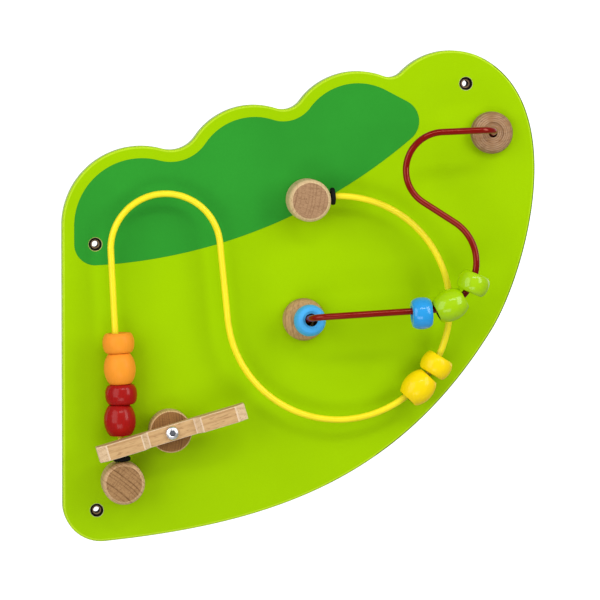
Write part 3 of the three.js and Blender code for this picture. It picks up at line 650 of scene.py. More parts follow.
def beech(
    name, pith, ring, side, end, turn=(0, 0, 0), cross=(0.8, 0.97),
    lines=0.8, rays=0.3, flecks=0.4, turned=0, seed=0,
):
    """Beech with its fibres along z once turned: growth rings round a far pith, rays, flecks and fibre.

    side and end are the light and dark tones of long grain and of end grain, which shows where a
    face lies across the fibres; turned is the strength of painted highlights on lathe rings round the piece's
    own axis.
    """
    s = Shader(name, seed, Specular_IOR_Level=0.12)
    spot = s.place(turn=turn)
    axes = s.split(spot)
    sway = s.math("SUBTRACT", s.noise(s.stretched(spot, 0.12), 70, 2), 0.5)
    right = s.math("SUBTRACT", axes[0], pith[0] * MM)
    up = s.math("SUBTRACT", axes[1], pith[1] * MM)
    reach = s.math("ADD", s.length(right, up), s.math("MULTIPLY", sway, RING_SWAY * MM))
    years = s.math("DIVIDE", reach, ring * MM)
    by_year = s.add("ShaderNodeCombineXYZ", {0: years})
    year = s.math("FRACT", s.math("ADD", years, s.math("MULTIPLY", s.noise(by_year, 0.4, 1), 1.6)))
    late = s.curve(year, [(0, 0.2), (0.25, 0.04), (0.66, 0.12), (0.86, 1), (0.94, 0.8), (1, 0.2)])
    late = s.math("MULTIPLY", late, s.span(s.noise(by_year, 0.9, 1), 0.38, 0.62, 0.3, 1.1))
    late = s.math("MULTIPLY", late, s.span(s.noise(s.stretched(spot, 0.1), 150, 2), 0.35, 0.6, 0.5, 1))
    round_spot = s.math("MULTIPLY", s.math("ARCTAN2", up, right), math.hypot(*pith) * MM)
    ray_spot = s.add(
        "ShaderNodeCombineXYZ",
        {0: round_spot, 1: s.math("MULTIPLY", reach, 0.14), 2: s.math("MULTIPLY", axes[2], 0.14)},
    )
    ray = s.span(s.noise(ray_spot, 1300, 2, 0.6), 0.45, 0.72)
    fibre = s.span(s.noise(s.stretched(spot, 0.03), 1400, 3), 0.3, 0.7)
    fleck = s.span(s.noise(s.stretched(spot, 0.2), 900, 1), 0.57, 0.68)
    facing = s.add(
        "ShaderNodeVectorRotate",
        {"Vector": s.tree.nodes.new("ShaderNodeTexCoord").outputs["Normal"], "Rotation": turn},
        rotation_type="EULER_XYZ",
    )
    across = s.span(s.math("ABSOLUTE", s.split(facing)[2]), *cross)
    light = s.mix(across, side[0], end[0])
    dark = s.mix(across, side[1], end[1])
    tone = s.mix(s.math("MULTIPLY", late, lines), light, dark)
    tone = s.mix(s.math("MULTIPLY", fibre, 0.3), tone, dark)
    tone = s.mix(s.math("MULTIPLY", ray, rays), tone, dark)
    darkest = s.mix(1.0, dark, (0.75, 0.7, 0.65, 1), "MULTIPLY")
    tone = s.mix(s.math("MULTIPLY", fleck, flecks), tone, darkest)
    if turned:
        own = s.split(s.place())
        groove = s.math("FRACT", s.math("DIVIDE", s.length(own[0], own[1]), LATHE_PITCH * MM))
        gleam = s.curve(groove, [(0, 0.1), (0.4, 0), (0.7, 1), (1, 0.1)])
        gleam = s.math("MULTIPLY", gleam, s.span(s.noise(s.place(), 160, 2), 0.35, 0.65))
        tone = s.mix(s.math("MULTIPLY", gleam, turned), tone, LATHE_RING_HIGHLIGHT)
    s.colour(tone)
    s.roughness(s.span(fibre, 0, 1, 0.5, 0.66))
    fine = s.math("ADD", fibre, s.math("MULTIPLY", ray, 0.6))
    s.bump(s.math("ADD", s.math("MULTIPLY", late, 0.5), fine), 0.16, 0.25 * MM)
    return s.material


def plated_steel(name, rough, tint):
    """Bright plate: a soft mottle in tone and polish."""
    s = Shader(name, Metallic=1.0)
    spot = s.place()
    mottle = s.span(s.noise(spot, 500, 4), 0.3, 0.7)
    s.colour(s.mix(mottle, shade(tint, 0.86), shade(tint, 1.08)))
    s.roughness(s.span(s.noise(spot, 1300, 3), 0.3, 0.7, rough - 0.06, rough + 0.1))
    s.bump(s.noise(spot, 900, 3), 0.08, 0.2 * MM)
    return s.material


def rough_stuff(name, dark, light, scale, rough, relief):
    """Rubber, the bare wall of a hole, or painted shade and highlight in holes and on rims: an uneven matt
    surface between two tones.
    """
    s = Shader(name, Specular_IOR_Level=0.2)
    spot = s.place()
    cloud = s.span(s.noise(spot, scale, 4, 0.62), 0.3, 0.72)
    s.colour(s.mix(cloud, dark, light))
    s.roughness(s.span(cloud, 0, 1, rough - 0.1, rough + 0.1))
    s.bump(s.noise(spot, 1300, 3), relief, 0.3 * MM)
    return s.material


LIME = lacquer("lime_lacquer", rgb(158, 203, 0), 0.03, 0.34)
# Painted highlight and painted shade for the board's rounded front edge: a paler lime, and a darker lime on
# the right
LIME_EDGE_HIGHLIGHT = lacquer("lime_edge_painted_highlight", rgb(184, 221, 40), 0.04, 0.34)
SHADED_EDGE = lacquer("shaded_edge", rgb(104, 132, 18), 0.05, 0.4)
FIELD_GREEN = lacquer("dark_green_paint", rgb(46, 150, 46), 0.06, 0.42)
# Painted shade for the walls of holes and sockets and for the centre base's dish
HOLE_SHADE = rough_stuff("hole_painted_shade", rgb(14, 9, 6), rgb(38, 27, 18), 900, 0.85, 0.4)
BARE_CORE = rough_stuff("bare_core", rgb(112, 88, 64), rgb(160, 132, 102), 1100, 0.85, 0.4)
# Painted highlight for the rims of the fixing holes
RIM_HIGHLIGHT = rough_stuff("rim_painted_highlight", rgb(168, 176, 110), rgb(206, 208, 150), 1100, 0.7, 0.3)
# Painted shade for bead bores and mouths
BEAD_BORE_SHADE = rough_stuff("bead_bore_painted_shade", rgb(10, 7, 5), rgb(34, 24, 16), 800, 0.85, 0.3)
BLACK_RUBBER = rough_stuff("black_rubber", rgb(3, 3, 3), rgb(14, 14, 13), 260, 0.7, 0.25)
UPPER_POST_WOOD = beech(
    "upper_post_beech", (-62, 12), 3.2, (rgb(228, 200, 154), rgb(198, 162, 116)),
    (rgb(182, 144, 108), rgb(120, 86, 58)), cross=(0.9, 0.98), lines=0.6, rays=0.5, seed=1,
)
LOWER_POST_WOOD = beech(
    "lower_post_beech", (-72, -88), 3.2, (rgb(222, 186, 142), rgb(172, 130, 88)),
    (rgb(178, 138, 94), rgb(104, 70, 40)), cross=(0.9, 0.98), lines=0.8, rays=0.5, seed=2,
)
LEVER_BASE_WOOD = beech(
    "lever_base_beech", (-75, 3), 2.0, (rgb(220, 186, 136), rgb(180, 138, 92)),
    (rgb(157, 113, 64), rgb(96, 62, 35)), lines=0.9, rays=0.25, seed=3,
)
CENTRE_WOOD = beech(
    "centre_base_beech", (-55, 20), 3.2, (rgb(203, 165, 115), rgb(138, 97, 58)),
    (rgb(180, 142, 92), rgb(130, 92, 54)), turn=(QUARTER, 0, 0), lines=0.7, seed=4,
)
# The right base's turned rings carry painted highlights
RIGHT_WOOD = beech(
    "right_base_beech", (20, -60), 2.8, (rgb(172, 132, 94), rgb(112, 76, 50)),
    (rgb(152, 112, 80), rgb(114, 78, 54)), turn=(0, -QUARTER, 0), lines=0.7, turned=0.36, seed=5,
)
# Its end tone is paler than its side tone and covers the slopes as well: partly end grain, partly painted
# light that lifts slopes the lamps leave darker
LEVER_WOOD = beech(
    "lever_beech", (12, 70), 4.4, (rgb(214, 177, 127), rgb(172, 128, 82)),
    (rgb(236, 206, 166), rgb(196, 158, 116)), turn=(0, -QUARTER, 0), cross=(0.3, 0.5), lines=0.5,
    flecks=0.55, seed=6,
)
# Painted highlight for the lever's front edges and creases: a paler beech
LEVER_EDGE_HIGHLIGHT = beech(
    "beech_painted_highlight", (12, 70), 3.0, (rgb(238, 214, 184), rgb(206, 170, 130)),
    (rgb(240, 218, 190), rgb(210, 176, 138)), turn=(0, -QUARTER, 0), lines=0.3, flecks=0.2, seed=7,
)
STEEL = plated_steel("plated_steel", 0.3, (0.9, 0.9, 0.92, 1))
# Painted shade for the walls of the bolt's hex socket
SOCKET_SHADE = plated_steel("socket_painted_shade", 0.4, (0.2, 0.21, 0.24, 1))
SCREW_STEEL = plated_steel("screw_steel", 0.3, (0.66, 0.6, 0.42, 1))
YELLOW_COAT = coated_rod("yellow_coat", rgb(250, 231, 30), 0.3, 0.3, (1, 1, 1, 1))
RED_COAT = coated_rod("red_coat", rgb(126, 8, 4), 0.08, 0.75, (1, 0.36, 0.26, 1))
BEAD_PAINTS = {
    "red": bead_paint("red_paint", rgb(168, 18, 14), 0.14, 0.36, 0.28, 0.12, 1),
    "orange": bead_paint("orange_paint", rgb(252, 156, 46), 0.07, 0.42, 0.05, 0.1, 2),
    "yellow": bead_paint("yellow_paint", rgb(255, 220, 6), 0.05, 0.34, 0.25, 0.06, 3),
    # A lighter copy of the blue paint, with less gloss, for the bead seen face-on: its lighter tone is
    # painted light on that face
    "centre_blue": bead_paint("blue_paint_lit_copy", rgb(76, 178, 242), 0.04, 0.4, 0.1, 0.2, 6),
    "blue": bead_paint("blue_paint", rgb(38, 157, 229), 0.04, 0.26, 0.75, 0.07, 4),
    "green": bead_paint("green_paint", rgb(166, 211, 0), 0.04, 0.26, 0.55, 0.08, 5),
}


# Board and paint field

def bands(obj, sides, materials):
    """A material for each strip of a turned form."""
    painted(obj, *materials)
    for strip in range(len(materials)):
        for face in obj.data.polygons[strip * sides:(strip + 1) * sides]:
            face.material_index = strip
    return obj


def fixing_cutter(spot):
    """A wall screw's hole: bore, a bare ring, the seat for the head, a wall and a rim; painted shade goes on
    the bore, the outer seat and the wall, and a painted highlight on the rim.
    """
    seat = FRONT - FIXING_DEPTH
    profile = [
        (0, -PAST),
        (FIXING_BORE, -PAST),
        (FIXING_BORE, seat),
        (FIXING_BARE_RADIUS, seat),
        (FIXING_HEAD_RADIUS, seat),
        (FIXING_HEAD_RADIUS, FRONT - FIXING_RIM),
        (FIXING_HEAD_RADIUS + 2 * FIXING_RIM, FRONT + FIXING_RIM),
        (0, FRONT + FIXING_RIM),
    ]
    cutter = lathe("fixing_cutter", profile, standing_at(spot, 0), CUTTER_SIDES)
    return bands(cutter, CUTTER_SIDES, [HOLE_SHADE, BARE_CORE, HOLE_SHADE, HOLE_SHADE, RIM_HIGHLIGHT])


def recess_cutter(spot, wall):
    """A bare recess in the board's back and its hole through the board, with room round what it takes."""
    profile = [(0, -PAST), *((radius + CLEARANCE, level) for radius, level in wall), (0, FRONT + PAST)]
    return painted(lathe("recess_cutter", profile, standing_at(spot, 0), CUTTER_SIDES), BARE_CORE)


SCREW_WALL = [
    (SCREW_HEAD_RADIUS, -PAST),
    (SCREW_HEAD_RADIUS, SCREW_HEAD_RIM),
    (SCREW_RADIUS, SCREW_NECK),
    (SCREW_RADIUS, FRONT + PAST),
]
NUT_WALL = [
    (NUT_FLANGE_RADIUS, -PAST),
    (NUT_FLANGE_RADIUS, NUT_FLANGE_TOP + CLEARANCE),
    (NUT_RADIUS, NUT_FLANGE_TOP + CLEARANCE),
    (NUT_RADIUS, NUT_TOP + CLEARANCE),
    (BOLT_RADIUS, NUT_TOP + CLEARANCE),
    (BOLT_RADIUS, FRONT + PAST),
]
SCREW_SPOTS = {"upper_post_screw": UPPER_POST, "lower_post_screw": LOWER_POST}
for node, spot in (("centre_base", CENTRE_BASE), ("right_base", RIGHT_BASE)):
    SCREW_SPOTS[f"{node}_screw_left"] = spot - Vector((BASE_SCREW_REACH, 0))
    SCREW_SPOTS[f"{node}_screw_right"] = spot + Vector((BASE_SCREW_REACH, 0))


def make_board():
    """The lacquered board; its rounded front edge has a painted highlight, a pale line, which turns to
    painted shade on the right.
    """
    obj = slab("board_lacquered", board_outline(), 0, FRONT, EDGE_ROUND, EDGE_ROUND)
    painted(obj, LIME, LIME_EDGE_HIGHLIGHT, SHADED_EDGE)
    # The front edge's rounding takes painted highlight unless it faces right; facing right, its outer part
    # takes painted shade
    for face in obj.data.polygons:
        depth = FRONT - face.center.z / MM
        if len(face.vertices) == 4 and 0 < depth < EDGE_LINE_DEPTH:
            if face.normal.x < SHADED_FACING:
                face.material_index = 1
            elif depth > SHADED_LINE_START:
                face.material_index = 2
    cutters = [fixing_cutter(spot) for spot in FIXING_HOLES]
    cutters += [recess_cutter(spot, SCREW_WALL) for spot in SCREW_SPOTS.values()]
    cutters.append(recess_cutter(PIVOT, NUT_WALL))
    cut(obj, cutters)
    return dress(obj, "board")


def make_field():
    """The paint field, with room for the fixing hole and the post that stands on it."""
    obj = slab(
        "dark_green_field_painted", paint_outline(), FRONT - PAINT_SINK, FRONT + PAINT_FILM,
        0, PAINT_EDGE_ROUND, 4,
    )
    painted(obj, FIELD_GREEN)
    cut(obj, [
        drill("hole_cutter", PAINT_HOLE_RADIUS, 0, standing_at(FIXING_HOLES[0], 0)),
        drill("post_cutter", POST_RADIUS + PAINT_POST_GAP, 0, standing_at(UPPER_POST, 0), PAINT_CUTTER_SIDES),
    ])
    return dress(obj, "dark_green_field")


make_board()
make_field()


# Wires

def heading(start, start_radius, end, end_radius):
    """The way of the straight run between two bends; a radius is positive where the path turns left."""
    slip = (end_radius - start_radius) / (end - start).length
    return bearing(start, end) - math.asin(max(-1, min(1, slip)))


def raised(spots, level):
    """Flat points at a level over the board's back."""
    return [Vector((spot.x, spot.y, level)) for spot in spots]


def elbow(corner, before, after, steps=14):
    """Points of the bend that rounds off a corner, given the directions away from it."""
    half = before.angle(after) / 2
    centre = corner + (before + after).normalized() * ELBOW_RADIUS / math.sin(half)
    start = corner + before * ELBOW_RADIUS / math.tan(half) - centre
    spots = []
    for i in range(steps + 1):
        angle = (math.pi - 2 * half) * i / steps
        spots.append(centre + start * math.cos(angle) - before * ELBOW_RADIUS * math.sin(angle))
    return spots


def subdivided(path, longest=6):
    """A path with more points on its straight runs."""
    spots = [path[0]]
    for a, b in zip(path, path[1:]):
        count = max(1, math.ceil((b - a).length / longest))
        spots += [a.lerp(b, i / count) for i in range(1, count + 1)]
    return spots


def yellow_path():
    """From the lower post up the leg, over the arch, down the slant and round the loop to the upper post."""
    leg = heading(LOWER_POST, 0, ARCH, -ARCH_RADIUS)
    slant = heading(ARCH, -ARCH_RADIUS, LOOP, LOOP_RADIUS)
    arch_start = leg + QUARTER
    loop_start = slant - QUARTER
    stop = UPPER_POST_ANGLE - WIRE_END / LOOP_RADIUS
    flat = [polar(LOWER_POST, WIRE_END, leg)]
    flat += arc(ARCH, ARCH_RADIUS, arch_start, turn_on(slant + QUARTER, arch_start, -1))
    flat += arc(LOOP, LOOP_RADIUS, loop_start, turn_on(stop, loop_start, 1))
    return subdivided(raised(flat, YELLOW_LEVEL))


def red_path():
    """From the centre base over an elbow, round both bends and down an elbow to the right base."""
    run = heading(RUN_START, 0, LOWER_BEND, LOWER_BEND_RADIUS)
    back = heading(LOWER_BEND, LOWER_BEND_RADIUS, UPPER_BEND, -UPPER_BEND_RADIUS)
    last = heading(UPPER_BEND, -UPPER_BEND_RADIUS, RUN_END, 0)
    run_way = Vector((math.cos(run), math.sin(run), 0))
    last_way = Vector((math.cos(last), math.sin(last), 0))
    start, end = raised([RUN_START, RUN_END], RED_LEVEL)
    start_foot, end_foot = raised([CENTRE_BASE, RIGHT_BASE], FRONT + BASE_HEIGHT)
    start_leg = (start - start_foot).normalized()
    end_leg = (end - end_foot).normalized()
    low_start = run - QUARTER
    high_start = back + QUARTER
    low = arc(LOWER_BEND, LOWER_BEND_RADIUS, low_start, turn_on(back - QUARTER, low_start, 1))
    high = arc(UPPER_BEND, UPPER_BEND_RADIUS, high_start, turn_on(last + QUARTER, high_start, -1))
    path = [start_foot - start_leg * LEG_INSERT]
    path += elbow(start, -start_leg, run_way)
    path += raised(low, RED_LEVEL) + raised(high, RED_LEVEL)
    path += elbow(end, -last_way, -end_leg)
    path.append(end_foot - end_leg * LEG_INSERT)
    return subdivided(path)


YELLOW_PATH = yellow_path()
RED_PATH = red_path()
dress(sweep("yellow_wire_coated", YELLOW_PATH, WIRE_RADIUS), "yellow_wire", YELLOW_COAT)
dress(sweep("red_wire_coated", RED_PATH, WIRE_RADIUS), "red_wire", RED_COAT)


def along_wire(node, path):
    """The place of a piece that is threaded on a wire: its middle, with its own z along the wire."""
    low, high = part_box(node)
    middle = BOARD.inverted() @ ((low + high) / 2) / MM
    nearest = min(range(1, len(path) - 1), key=lambda i: (path[i] - middle).length)
    way = (path[nearest + 1] - path[nearest - 1]).normalized()
    return BOARD @ Matrix.Translation(middle * MM) @ way.to_track_quat("Z", "Y").to_matrix().to_4x4()


# Beads and rubber rings

BARREL = (BARREL_LENGTH, 0, math.acos(BARREL_FACE_RADIUS / BEAD_RADIUS))
FLAT = (FLAT_LENGTH, FLAT_CORE, QUARTER)
SKIN_STEPS = 14
# How far painted shade reaches out from the bore: over the sunk mouth on the yellow and green beads, just
# past the bore on the others
SHADED_MOUTHS = ("yellow", "green")
MOUTH_SHADE_WIDTH = 2.1
BORE_SHADE_WIDTH = 0.1


def bead(node, kind, path):
    """A bored bead: its side is part of an ellipse, which turns into flat faces and a sunk mouth."""
    length, core, turn = kind
    half = length / 2
    turns = [turn * (i / SKIN_STEPS - 1) for i in range(2 * SKIN_STEPS + 1)]
    skin = [
        (core + (BEAD_RADIUS - core) * math.cos(angle), half * math.sin(angle) / math.sin(turn))
        for angle in turns
    ]
    edge = BARREL_EDGE_ROUND if core == 0 else 0
    mouth = [(BEAD_BORE + MOUTH_WIDTH, half), (BEAD_BORE, half - MOUTH_DEPTH)]
    sunk = [(r, -h) for r, h in reversed(mouth)]
    radii = [MOUTH_ROUND, MOUTH_ROUND, edge] + (2 * SKIN_STEPS - 1) * [0] + [edge, MOUTH_ROUND, MOUTH_ROUND]
    profile = rounded([(BEAD_BORE, 0), *sunk, *skin, *mouth, (BEAD_BORE, 0)], radii)
    obj = lathe(f"{node}_painted", profile[:-1], along_wire(node, path), BEAD_SIDES)
    colour = next(colour for colour in BEAD_PAINTS if colour in node)
    painted(obj, BEAD_PAINTS[colour], BEAD_BORE_SHADE)
    # Painted shade on the faces within that reach of the bead's axis
    bore_shade_reach = BEAD_BORE + (MOUTH_SHADE_WIDTH if colour in SHADED_MOUTHS else BORE_SHADE_WIDTH)
    for face in obj.data.polygons:
        if math.hypot(face.center.x, face.center.y) < bore_shade_reach * MM:
            face.material_index = 1
    return dress(obj, node, sharp=60)


for form, kind in (("barrel", BARREL), ("flat", FLAT)):
    for colour in ("red", "orange", "yellow"):
        bead(f"{colour}_{form}_bead", kind, YELLOW_PATH)
bead("green_barrel_bead", BARREL, RED_PATH)
for node in ("green_flat_bead", "centre_blue_bead", "sliding_blue_bead"):
    bead(node, FLAT, RED_PATH)


def ring_section(bore, outer, low, high, outer_round, bore_round, steps=5):
    """A ring's closed section with rounded corners, from a spot on its lower face."""
    start = (RING_SECTION_START, low)
    corners = [start, (outer, low), (outer, high), (bore, high), (bore, low), start]
    return rounded(corners, [outer_round, outer_round, bore_round, bore_round], steps)[:-1]


def rubber_ring(node):
    """A moulded ring on the yellow wire, well rounded on its outer edges."""
    bore = WIRE_RADIUS + CLEARANCE
    section = ring_section(
        bore, RING_RADIUS, -RING_HALF_LENGTH, RING_HALF_LENGTH, RING_ROUND, RING_BORE_ROUND
    )
    obj = lathe(f"{node}_moulded", section, along_wire(node, YELLOW_PATH), RING_SIDES)
    return dress(obj, node, BLACK_RUBBER, sharp=60)


rubber_ring("upper_rubber_ring")
rubber_ring("lower_rubber_ring")


# Posts and bases

TURNED_FOOT = [(0, 0), (POST_RADIUS - FOOT_CHAMFER, 0), (POST_RADIUS, FOOT_CHAMFER)]


def socket_cutter(path, play):
    """The hole in which a wire's end stands with some play, its walls in painted shade."""
    return painted(sweep("socket_cutter", path, WIRE_RADIUS + play, SOCKET_SIDES), HOLE_SHADE)


def post(node, spot, wood, path):
    """A turned post, its upper edge rounded over up to the sawn face."""
    edge = []
    for i in range(POST_ROUND_STEPS + 1):
        angle = POST_ROUND_TURN * i / POST_ROUND_STEPS
        drop = POST_ROUND * (math.sin(POST_ROUND_TURN) - math.sin(angle))
        edge.append((POST_RADIUS - POST_ROUND * (1 - math.cos(angle)), POST_HEIGHT - drop))
    obj = lathe(f"{node}_turned", TURNED_FOOT + edge + [(0, POST_HEIGHT)], standing_at(spot), POST_SIDES)
    painted(obj, wood)
    cut(obj, [socket_cutter(path, CLEARANCE)])
    return dress(obj, node, sharp=25)


# Sockets follow the wires' first or last few points
post("upper_post", UPPER_POST, UPPER_POST_WOOD, YELLOW_PATH[-12:])
post("lower_post", LOWER_POST, LOWER_POST_WOOD, YELLOW_PATH[:6])

# The dish as (radius, height) pairs, from its lip to the middle
DISH = [
    (9.0, 11.95), (8.4, 11.2), (7.6, 10.75), (6.6, 10.6),
    (6.2, 10.75), (5.6, 10.75), (5.2, 10.6), (0, 10.6),
]
DISH_LEVEL = 10
SHADED_DISH_RADIUS = 6.3


def base(node, spot, wood, path, dish_shade_within):
    """A turned base: domed shoulder, a fine groove, a raised lip and a dish round the wire's hole."""
    shoulder = []
    for i in range(DOME_STEPS + 1):
        angle = QUARTER * i / DOME_STEPS
        radius = POST_RADIUS - DOME_WIDTH + DOME_WIDTH * math.cos(angle)
        height = BASE_HEIGHT - DOME_HEIGHT + DOME_HEIGHT * math.sin(angle)
        grooved = abs(radius - GROOVE_RADIUS) < GROOVE_HALF_WIDTH
        shoulder.append((radius, height - (GROOVE_DEPTH if grooved else 0)))
    obj = lathe(f"{node}_turned", TURNED_FOOT + shoulder + DISH, standing_at(spot), POST_SIDES)
    painted(obj, wood, HOLE_SHADE)
    # Painted shade on the middle of the dish, within the given radius, round the wire's hole
    for face in obj.data.polygons:
        if face.center.z > DISH_LEVEL * MM and math.hypot(face.center.x, face.center.y) < dish_shade_within * MM:
            face.material_index = 1
    cut(obj, [socket_cutter(path, BASE_SOCKET_PLAY)])
    return dress(obj, node)


base("centre_base", CENTRE_BASE, CENTRE_WOOD, RED_PATH[:4], SHADED_DISH_RADIUS)
base("right_base", RIGHT_BASE, RIGHT_WOOD, RED_PATH[-4:], 0)


def make_lever_base():
    """The lever's base, with a small chamfer and the bolt's hole."""
    corners = [
        (0, 0),
        (POST_RADIUS, 0),
        (POST_RADIUS, LEVER_BASE_HEIGHT - LEVER_BASE_CHAMFER),
        (POST_RADIUS - LEVER_BASE_CHAMFER, LEVER_BASE_HEIGHT),
        (0, LEVER_BASE_HEIGHT),
    ]
    profile = rounded(corners, LEVER_BASE_ROUNDS)
    obj = lathe("lever_base_turned", profile, standing_at(PIVOT), POST_SIDES)
    painted(obj, LEVER_BASE_WOOD)
    cut(obj, [drill("bolt_cutter", BOLT_HOLE_RADIUS, -PAST, standing_at(PIVOT))])
    return dress(obj, "lever_base")


make_lever_base()


# Lever and its pivot

def lever_tilt():
    """The angle at which the CAD lever rests, from the spread of its own points."""
    spots = [v.co for v in frame["nodes"]["lever"].data.vertices]
    x = [p.x - PIVOT.x * MM for p in spots]
    z = [p.z - PIVOT.y * MM for p in spots]
    lean = 2 * sum(a * b for a, b in zip(x, z))
    spread = sum(a * a for a in x) - sum(b * b for b in z)
    return 0.5 * math.atan2(lean, spread)


def make_lever():
    """The lever, thinner in the middle and at its ends, with painted highlights: the edges and creases on its
    front painted pale.
    """
    half = [
        (LEVER_HALF_LENGTH, 0),
        (LEVER_HALF_LENGTH, LEVER_END_HEIGHT),
        (LEVER_FLAT_END, LEVER_HEIGHT),
        (LEVER_FLAT_START, LEVER_HEIGHT),
        (LEVER_WAIST_END, LEVER_WAIST_HEIGHT),
    ]
    side = half + [(-x, z) for x, z in reversed(half)]
    count = len(side)
    spots = [(x, y, z) for y in (-LEVER_HALF_WIDTH, LEVER_HALF_WIDTH) for x, z in side]
    faces = [tuple(range(count)), tuple(range(count, 2 * count))]
    faces += strips([0, count], count)
    matrix = standing_at(PIVOT, LEVER_BACK) @ Matrix.Rotation(lever_tilt(), 4, "Z")
    obj = new_object("lever_shaped", spots, faces, matrix)
    shape = bmesh.new()
    shape.from_mesh(obj.data)
    bmesh.ops.bevel(
        shape, geom=shape.edges, offset=LEVER_EDGE_ROUND * MM, segments=4, profile=0.6, affect="EDGES"
    )
    shape.to_mesh(obj.data)
    shape.free()
    painted(obj, LEVER_WOOD, LEVER_EDGE_HIGHLIGHT)
    # Painted highlight on the front edges and creases
    creases = (LEVER_WAIST_END, LEVER_FLAT_START, LEVER_FLAT_END)
    for face in obj.data.polygons:
        reach = abs(face.center.x) / MM
        creased = min(abs(reach - crease) for crease in creases) < LEVER_EDGE_ROUND
        on_edge = min(abs(face.normal.y), abs(face.normal.z)) > LEVER_HIGHLIGHT_FACING
        if face.center.z > LEVER_HIGHLIGHT_LEVEL * MM and (creased or on_edge):
            face.material_index = 1
    cut(obj, [drill("bolt_cutter", BOLT_HOLE_RADIUS, -PAST, standing_at(PIVOT, LEVER_BACK))])
    return dress(obj, "lever")


make_lever()


def hex_cutter(top):
    """The hex socket in the bolt's head, whose walls take painted shade."""
    turns = [math.tau * i / 6 for i in range(6)]
    corners = [(HEX_RADIUS * math.cos(turn), HEX_RADIUS * math.sin(turn)) for turn in turns]
    spots = [(x, y, level) for level in (top - HEX_DEPTH, top + PAST) for x, y in corners]
    return painted(new_object("hex_cutter", spots, capped([0, 6], 6), standing_at(PIVOT, 0)), SOCKET_SHADE)


def make_bolt():
    """The pivot bolt, from its point in the nut to its domed head over the lever."""
    head = LEVER_BACK + LEVER_WAIST_HEIGHT + CLEARANCE
    rim = head + BOLT_HEAD_RIM
    rise = BOLT_HEAD_HEIGHT - BOLT_HEAD_RIM
    top = rim + rise
    turns = [math.radians(degrees) for degrees in range(0, 70, 5)]
    dome = [(BOLT_HEAD_RADIUS * math.cos(turn), rim + rise * math.sin(turn)) for turn in turns]
    shank = [
        (0, BOLT_BACK),
        (BOLT_RADIUS - BOLT_END_CHAMFER, BOLT_BACK),
        (BOLT_RADIUS, BOLT_BACK + BOLT_END_TAPER),
        (BOLT_RADIUS, head),
    ]
    under = [(BOLT_HEAD_RADIUS - HEAD_CHAMFER, head), (BOLT_HEAD_RADIUS, head + HEAD_CHAMFER)]
    profile = shank + under + dome + [(0, top)]
    obj = lathe("pivot_bolt_plated", profile, standing_at(PIVOT, 0), BOLT_SIDES)
    painted(obj, STEEL)
    cut(obj, [hex_cutter(top)])
    return dress(obj, "pivot_bolt")


def plated_ring(name, node, section):
    """A washer or nut round the bolt, from its closed section."""
    return dress(lathe(name, section, standing_at(PIVOT, 0), BOLT_SIDES), node, STEEL)


def make_washer():
    """The washer between the lever and its base."""
    low = FRONT + LEVER_BASE_HEIGHT
    high = low + WASHER_THICKNESS
    section = ring_section(
        BOLT_HOLE_RADIUS, WASHER_RADIUS, low, high, WASHER_ROUND, WASHER_BORE_ROUND, FINE_ROUND_STEPS
    )
    return plated_ring("lever_washer_plated", "lever_washer", section)


def make_nut():
    """The flanged nut in the board's back, round the bolt's end."""
    low = CLEARANCE
    start = (NUT_SECTION_START, low)
    corners = [
        start,
        (NUT_FLANGE_RADIUS, low),
        (NUT_FLANGE_RADIUS, NUT_FLANGE_TOP),
        (NUT_RADIUS, NUT_FLANGE_TOP),
        (NUT_RADIUS, NUT_TOP),
        (BOLT_HOLE_RADIUS, NUT_TOP),
        (BOLT_HOLE_RADIUS, low),
        start,
    ]
    section = rounded(corners, NUT_ROUNDS, FINE_ROUND_STEPS)[:-1]
    return plated_ring("pivot_nut_plated", "pivot_nut", section)


make_bolt()
make_washer()
make_nut()


# Wood screws

def screw(node, spot):
    """A countersunk wood screw with a cross recess in its head, which lies just under the board's back."""
    tip = FRONT + (POST_SCREW_BITE if "post" in node else BASE_SCREW_BITE)
    profile = [
        (0, CLEARANCE),
        (SCREW_HEAD_RADIUS - HEAD_CHAMFER, CLEARANCE),
        (SCREW_HEAD_RADIUS, CLEARANCE + SCREW_CHAMFER_DEPTH),
        (SCREW_HEAD_RADIUS, SCREW_HEAD_RIM),
        (SCREW_RADIUS, SCREW_NECK),
        (SCREW_RADIUS, tip - SCREW_POINT),
        (SCREW_TIP_RADIUS, tip),
        (0, tip),
    ]
    obj = lathe(f"{node}_plated", profile, standing_at(spot, 0), SCREW_SIDES)
    painted(obj, SCREW_STEEL)
    arms = []
    for wide, tall in ((CROSS_REACH, CROSS_SLOT), (CROSS_SLOT, CROSS_REACH)):
        mouth = [(-wide, -tall), (wide, -tall), (wide, tall), (-wide, tall)]
        levels = ((-PAST, 1.0), (CROSS_DEPTH, CROSS_TAPER))
        corners = [(x * taper, y * taper, level) for level, taper in levels for x, y in mouth]
        arms.append(new_object("cross_cutter", corners, capped([0, 4], 4), standing_at(spot, 0)))
    cut(obj, arms)
    return dress(obj, node)


for node, spot in SCREW_SPOTS.items():
    screw(node, spot)


# Stage, light and camera

def sheet(name, corners, glow):
    """A pale sheet; a glowing one is plain white to the camera and to reflections, and lights nothing."""
    mesh = bpy.data.meshes.new(name)
    mesh.from_pydata(corners, [], [(0, 1, 2, 3)])
    obj = linked(name, mesh)
    s = Shader(name, Roughness=0.9, Specular_IOR_Level=0.0)
    s.colour(s.mix(s.noise(s.place(), 3, 2), (0.8, 0.8, 0.8, 1), (0.84, 0.84, 0.84, 1)))
    if glow:
        path = s.tree.nodes.new("ShaderNodeLightPath")
        seen = s.math("MAXIMUM", path.outputs["Is Camera Ray"], path.outputs["Is Glossy Ray"])
        seen = s.math("MAXIMUM", seen, path.outputs["Is Transmission Ray"])
        s.feed(s.surface.inputs["Emission Strength"], seen)
        s.surface.inputs["Emission Color"].default_value = (1, 1, 1, 1)
    painted(obj, s.material)


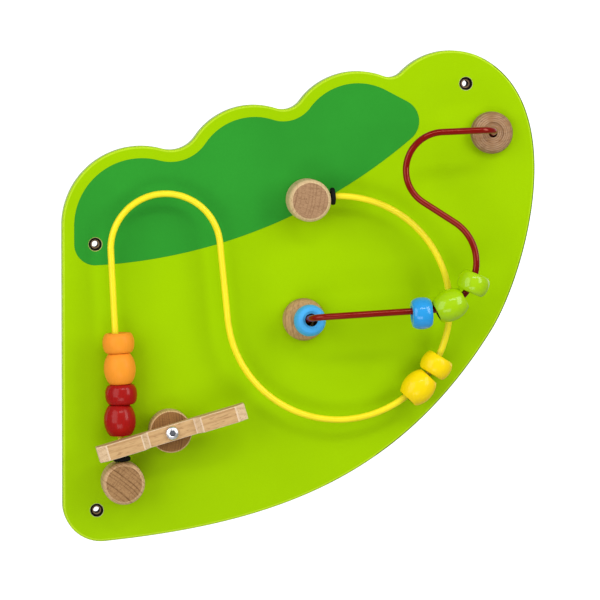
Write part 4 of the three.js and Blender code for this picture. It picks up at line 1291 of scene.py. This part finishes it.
# Stage, lamps and camera are placed in metres
WIDE = 20
FLOOR = -1.6
BEHIND = 8
TOP = 12
floor_corners = [(-WIDE, -WIDE, FLOOR), (WIDE, -WIDE, FLOOR), (WIDE, WIDE, FLOOR), (-WIDE, WIDE, FLOOR)]
wall_corners = [(-WIDE, BEHIND, FLOOR), (WIDE, BEHIND, FLOOR), (WIDE, BEHIND, TOP), (-WIDE, BEHIND, TOP)]
sheet("floor", floor_corners, False)
sheet("backdrop", wall_corners, True)

world = bpy.data.worlds.new("studio")
bpy.context.scene.world = world
world.use_nodes = True
background = world.node_tree.nodes["Background"]
background.inputs["Color"].default_value = (1, 1, 1, 1)
background.inputs["Strength"].default_value = 0.3


def softbox(name, spot, size, power, aim=(0, -0.02, 0)):
    """A rectangular lamp that looks at the board."""
    lamp = bpy.data.lights.new(name, "AREA")
    lamp.shape = "RECTANGLE"
    lamp.size, lamp.size_y = size
    lamp.energy = power
    obj = linked(name, lamp)
    obj.location = spot
    obj.rotation_euler = (Vector(aim) - Vector(spot)).to_track_quat("-Z", "Y").to_euler()


softbox("key_softbox", (0.95, -0.95, 0.55), (0.55, 1.2), 10.2)
softbox("left_softbox", (-0.95, -0.9, 0.25), (0.9, 1.3), 8.9)
softbox("top_softbox", (0.15, -1.5, 1.2), (0.9, 0.25), 6)
softbox("low_softbox", (-0.3, -1.6, -0.9), (1.2, 0.6), 6.5)

AZIMUTH = math.radians(-6)
ELEVATION = math.radians(3.5)
DISTANCE = 4.0
LOOK_AT = Vector((0.00165, -0.018, -0.00336))
SENSOR = 36
PHOTO_PIXELS = 600
PIXEL_SIZE = 0.00083
camera = linked("camera", bpy.data.cameras.new("camera"))
bpy.context.scene.camera = camera
back = Vector((
    math.sin(AZIMUTH) * math.cos(ELEVATION),
    -math.cos(AZIMUTH) * math.cos(ELEVATION),
    math.sin(ELEVATION),
))
camera.location = LOOK_AT + DISTANCE * back
camera.rotation_euler = (-back).to_track_quat("-Z", "Y").to_euler()
camera.data.sensor_width = SENSOR
camera.data.lens = SENSOR * DISTANCE / (PHOTO_PIXELS * PIXEL_SIZE)
camera.data.clip_end = 100

bpy.context.scene.view_settings.view_transform = "Standard"
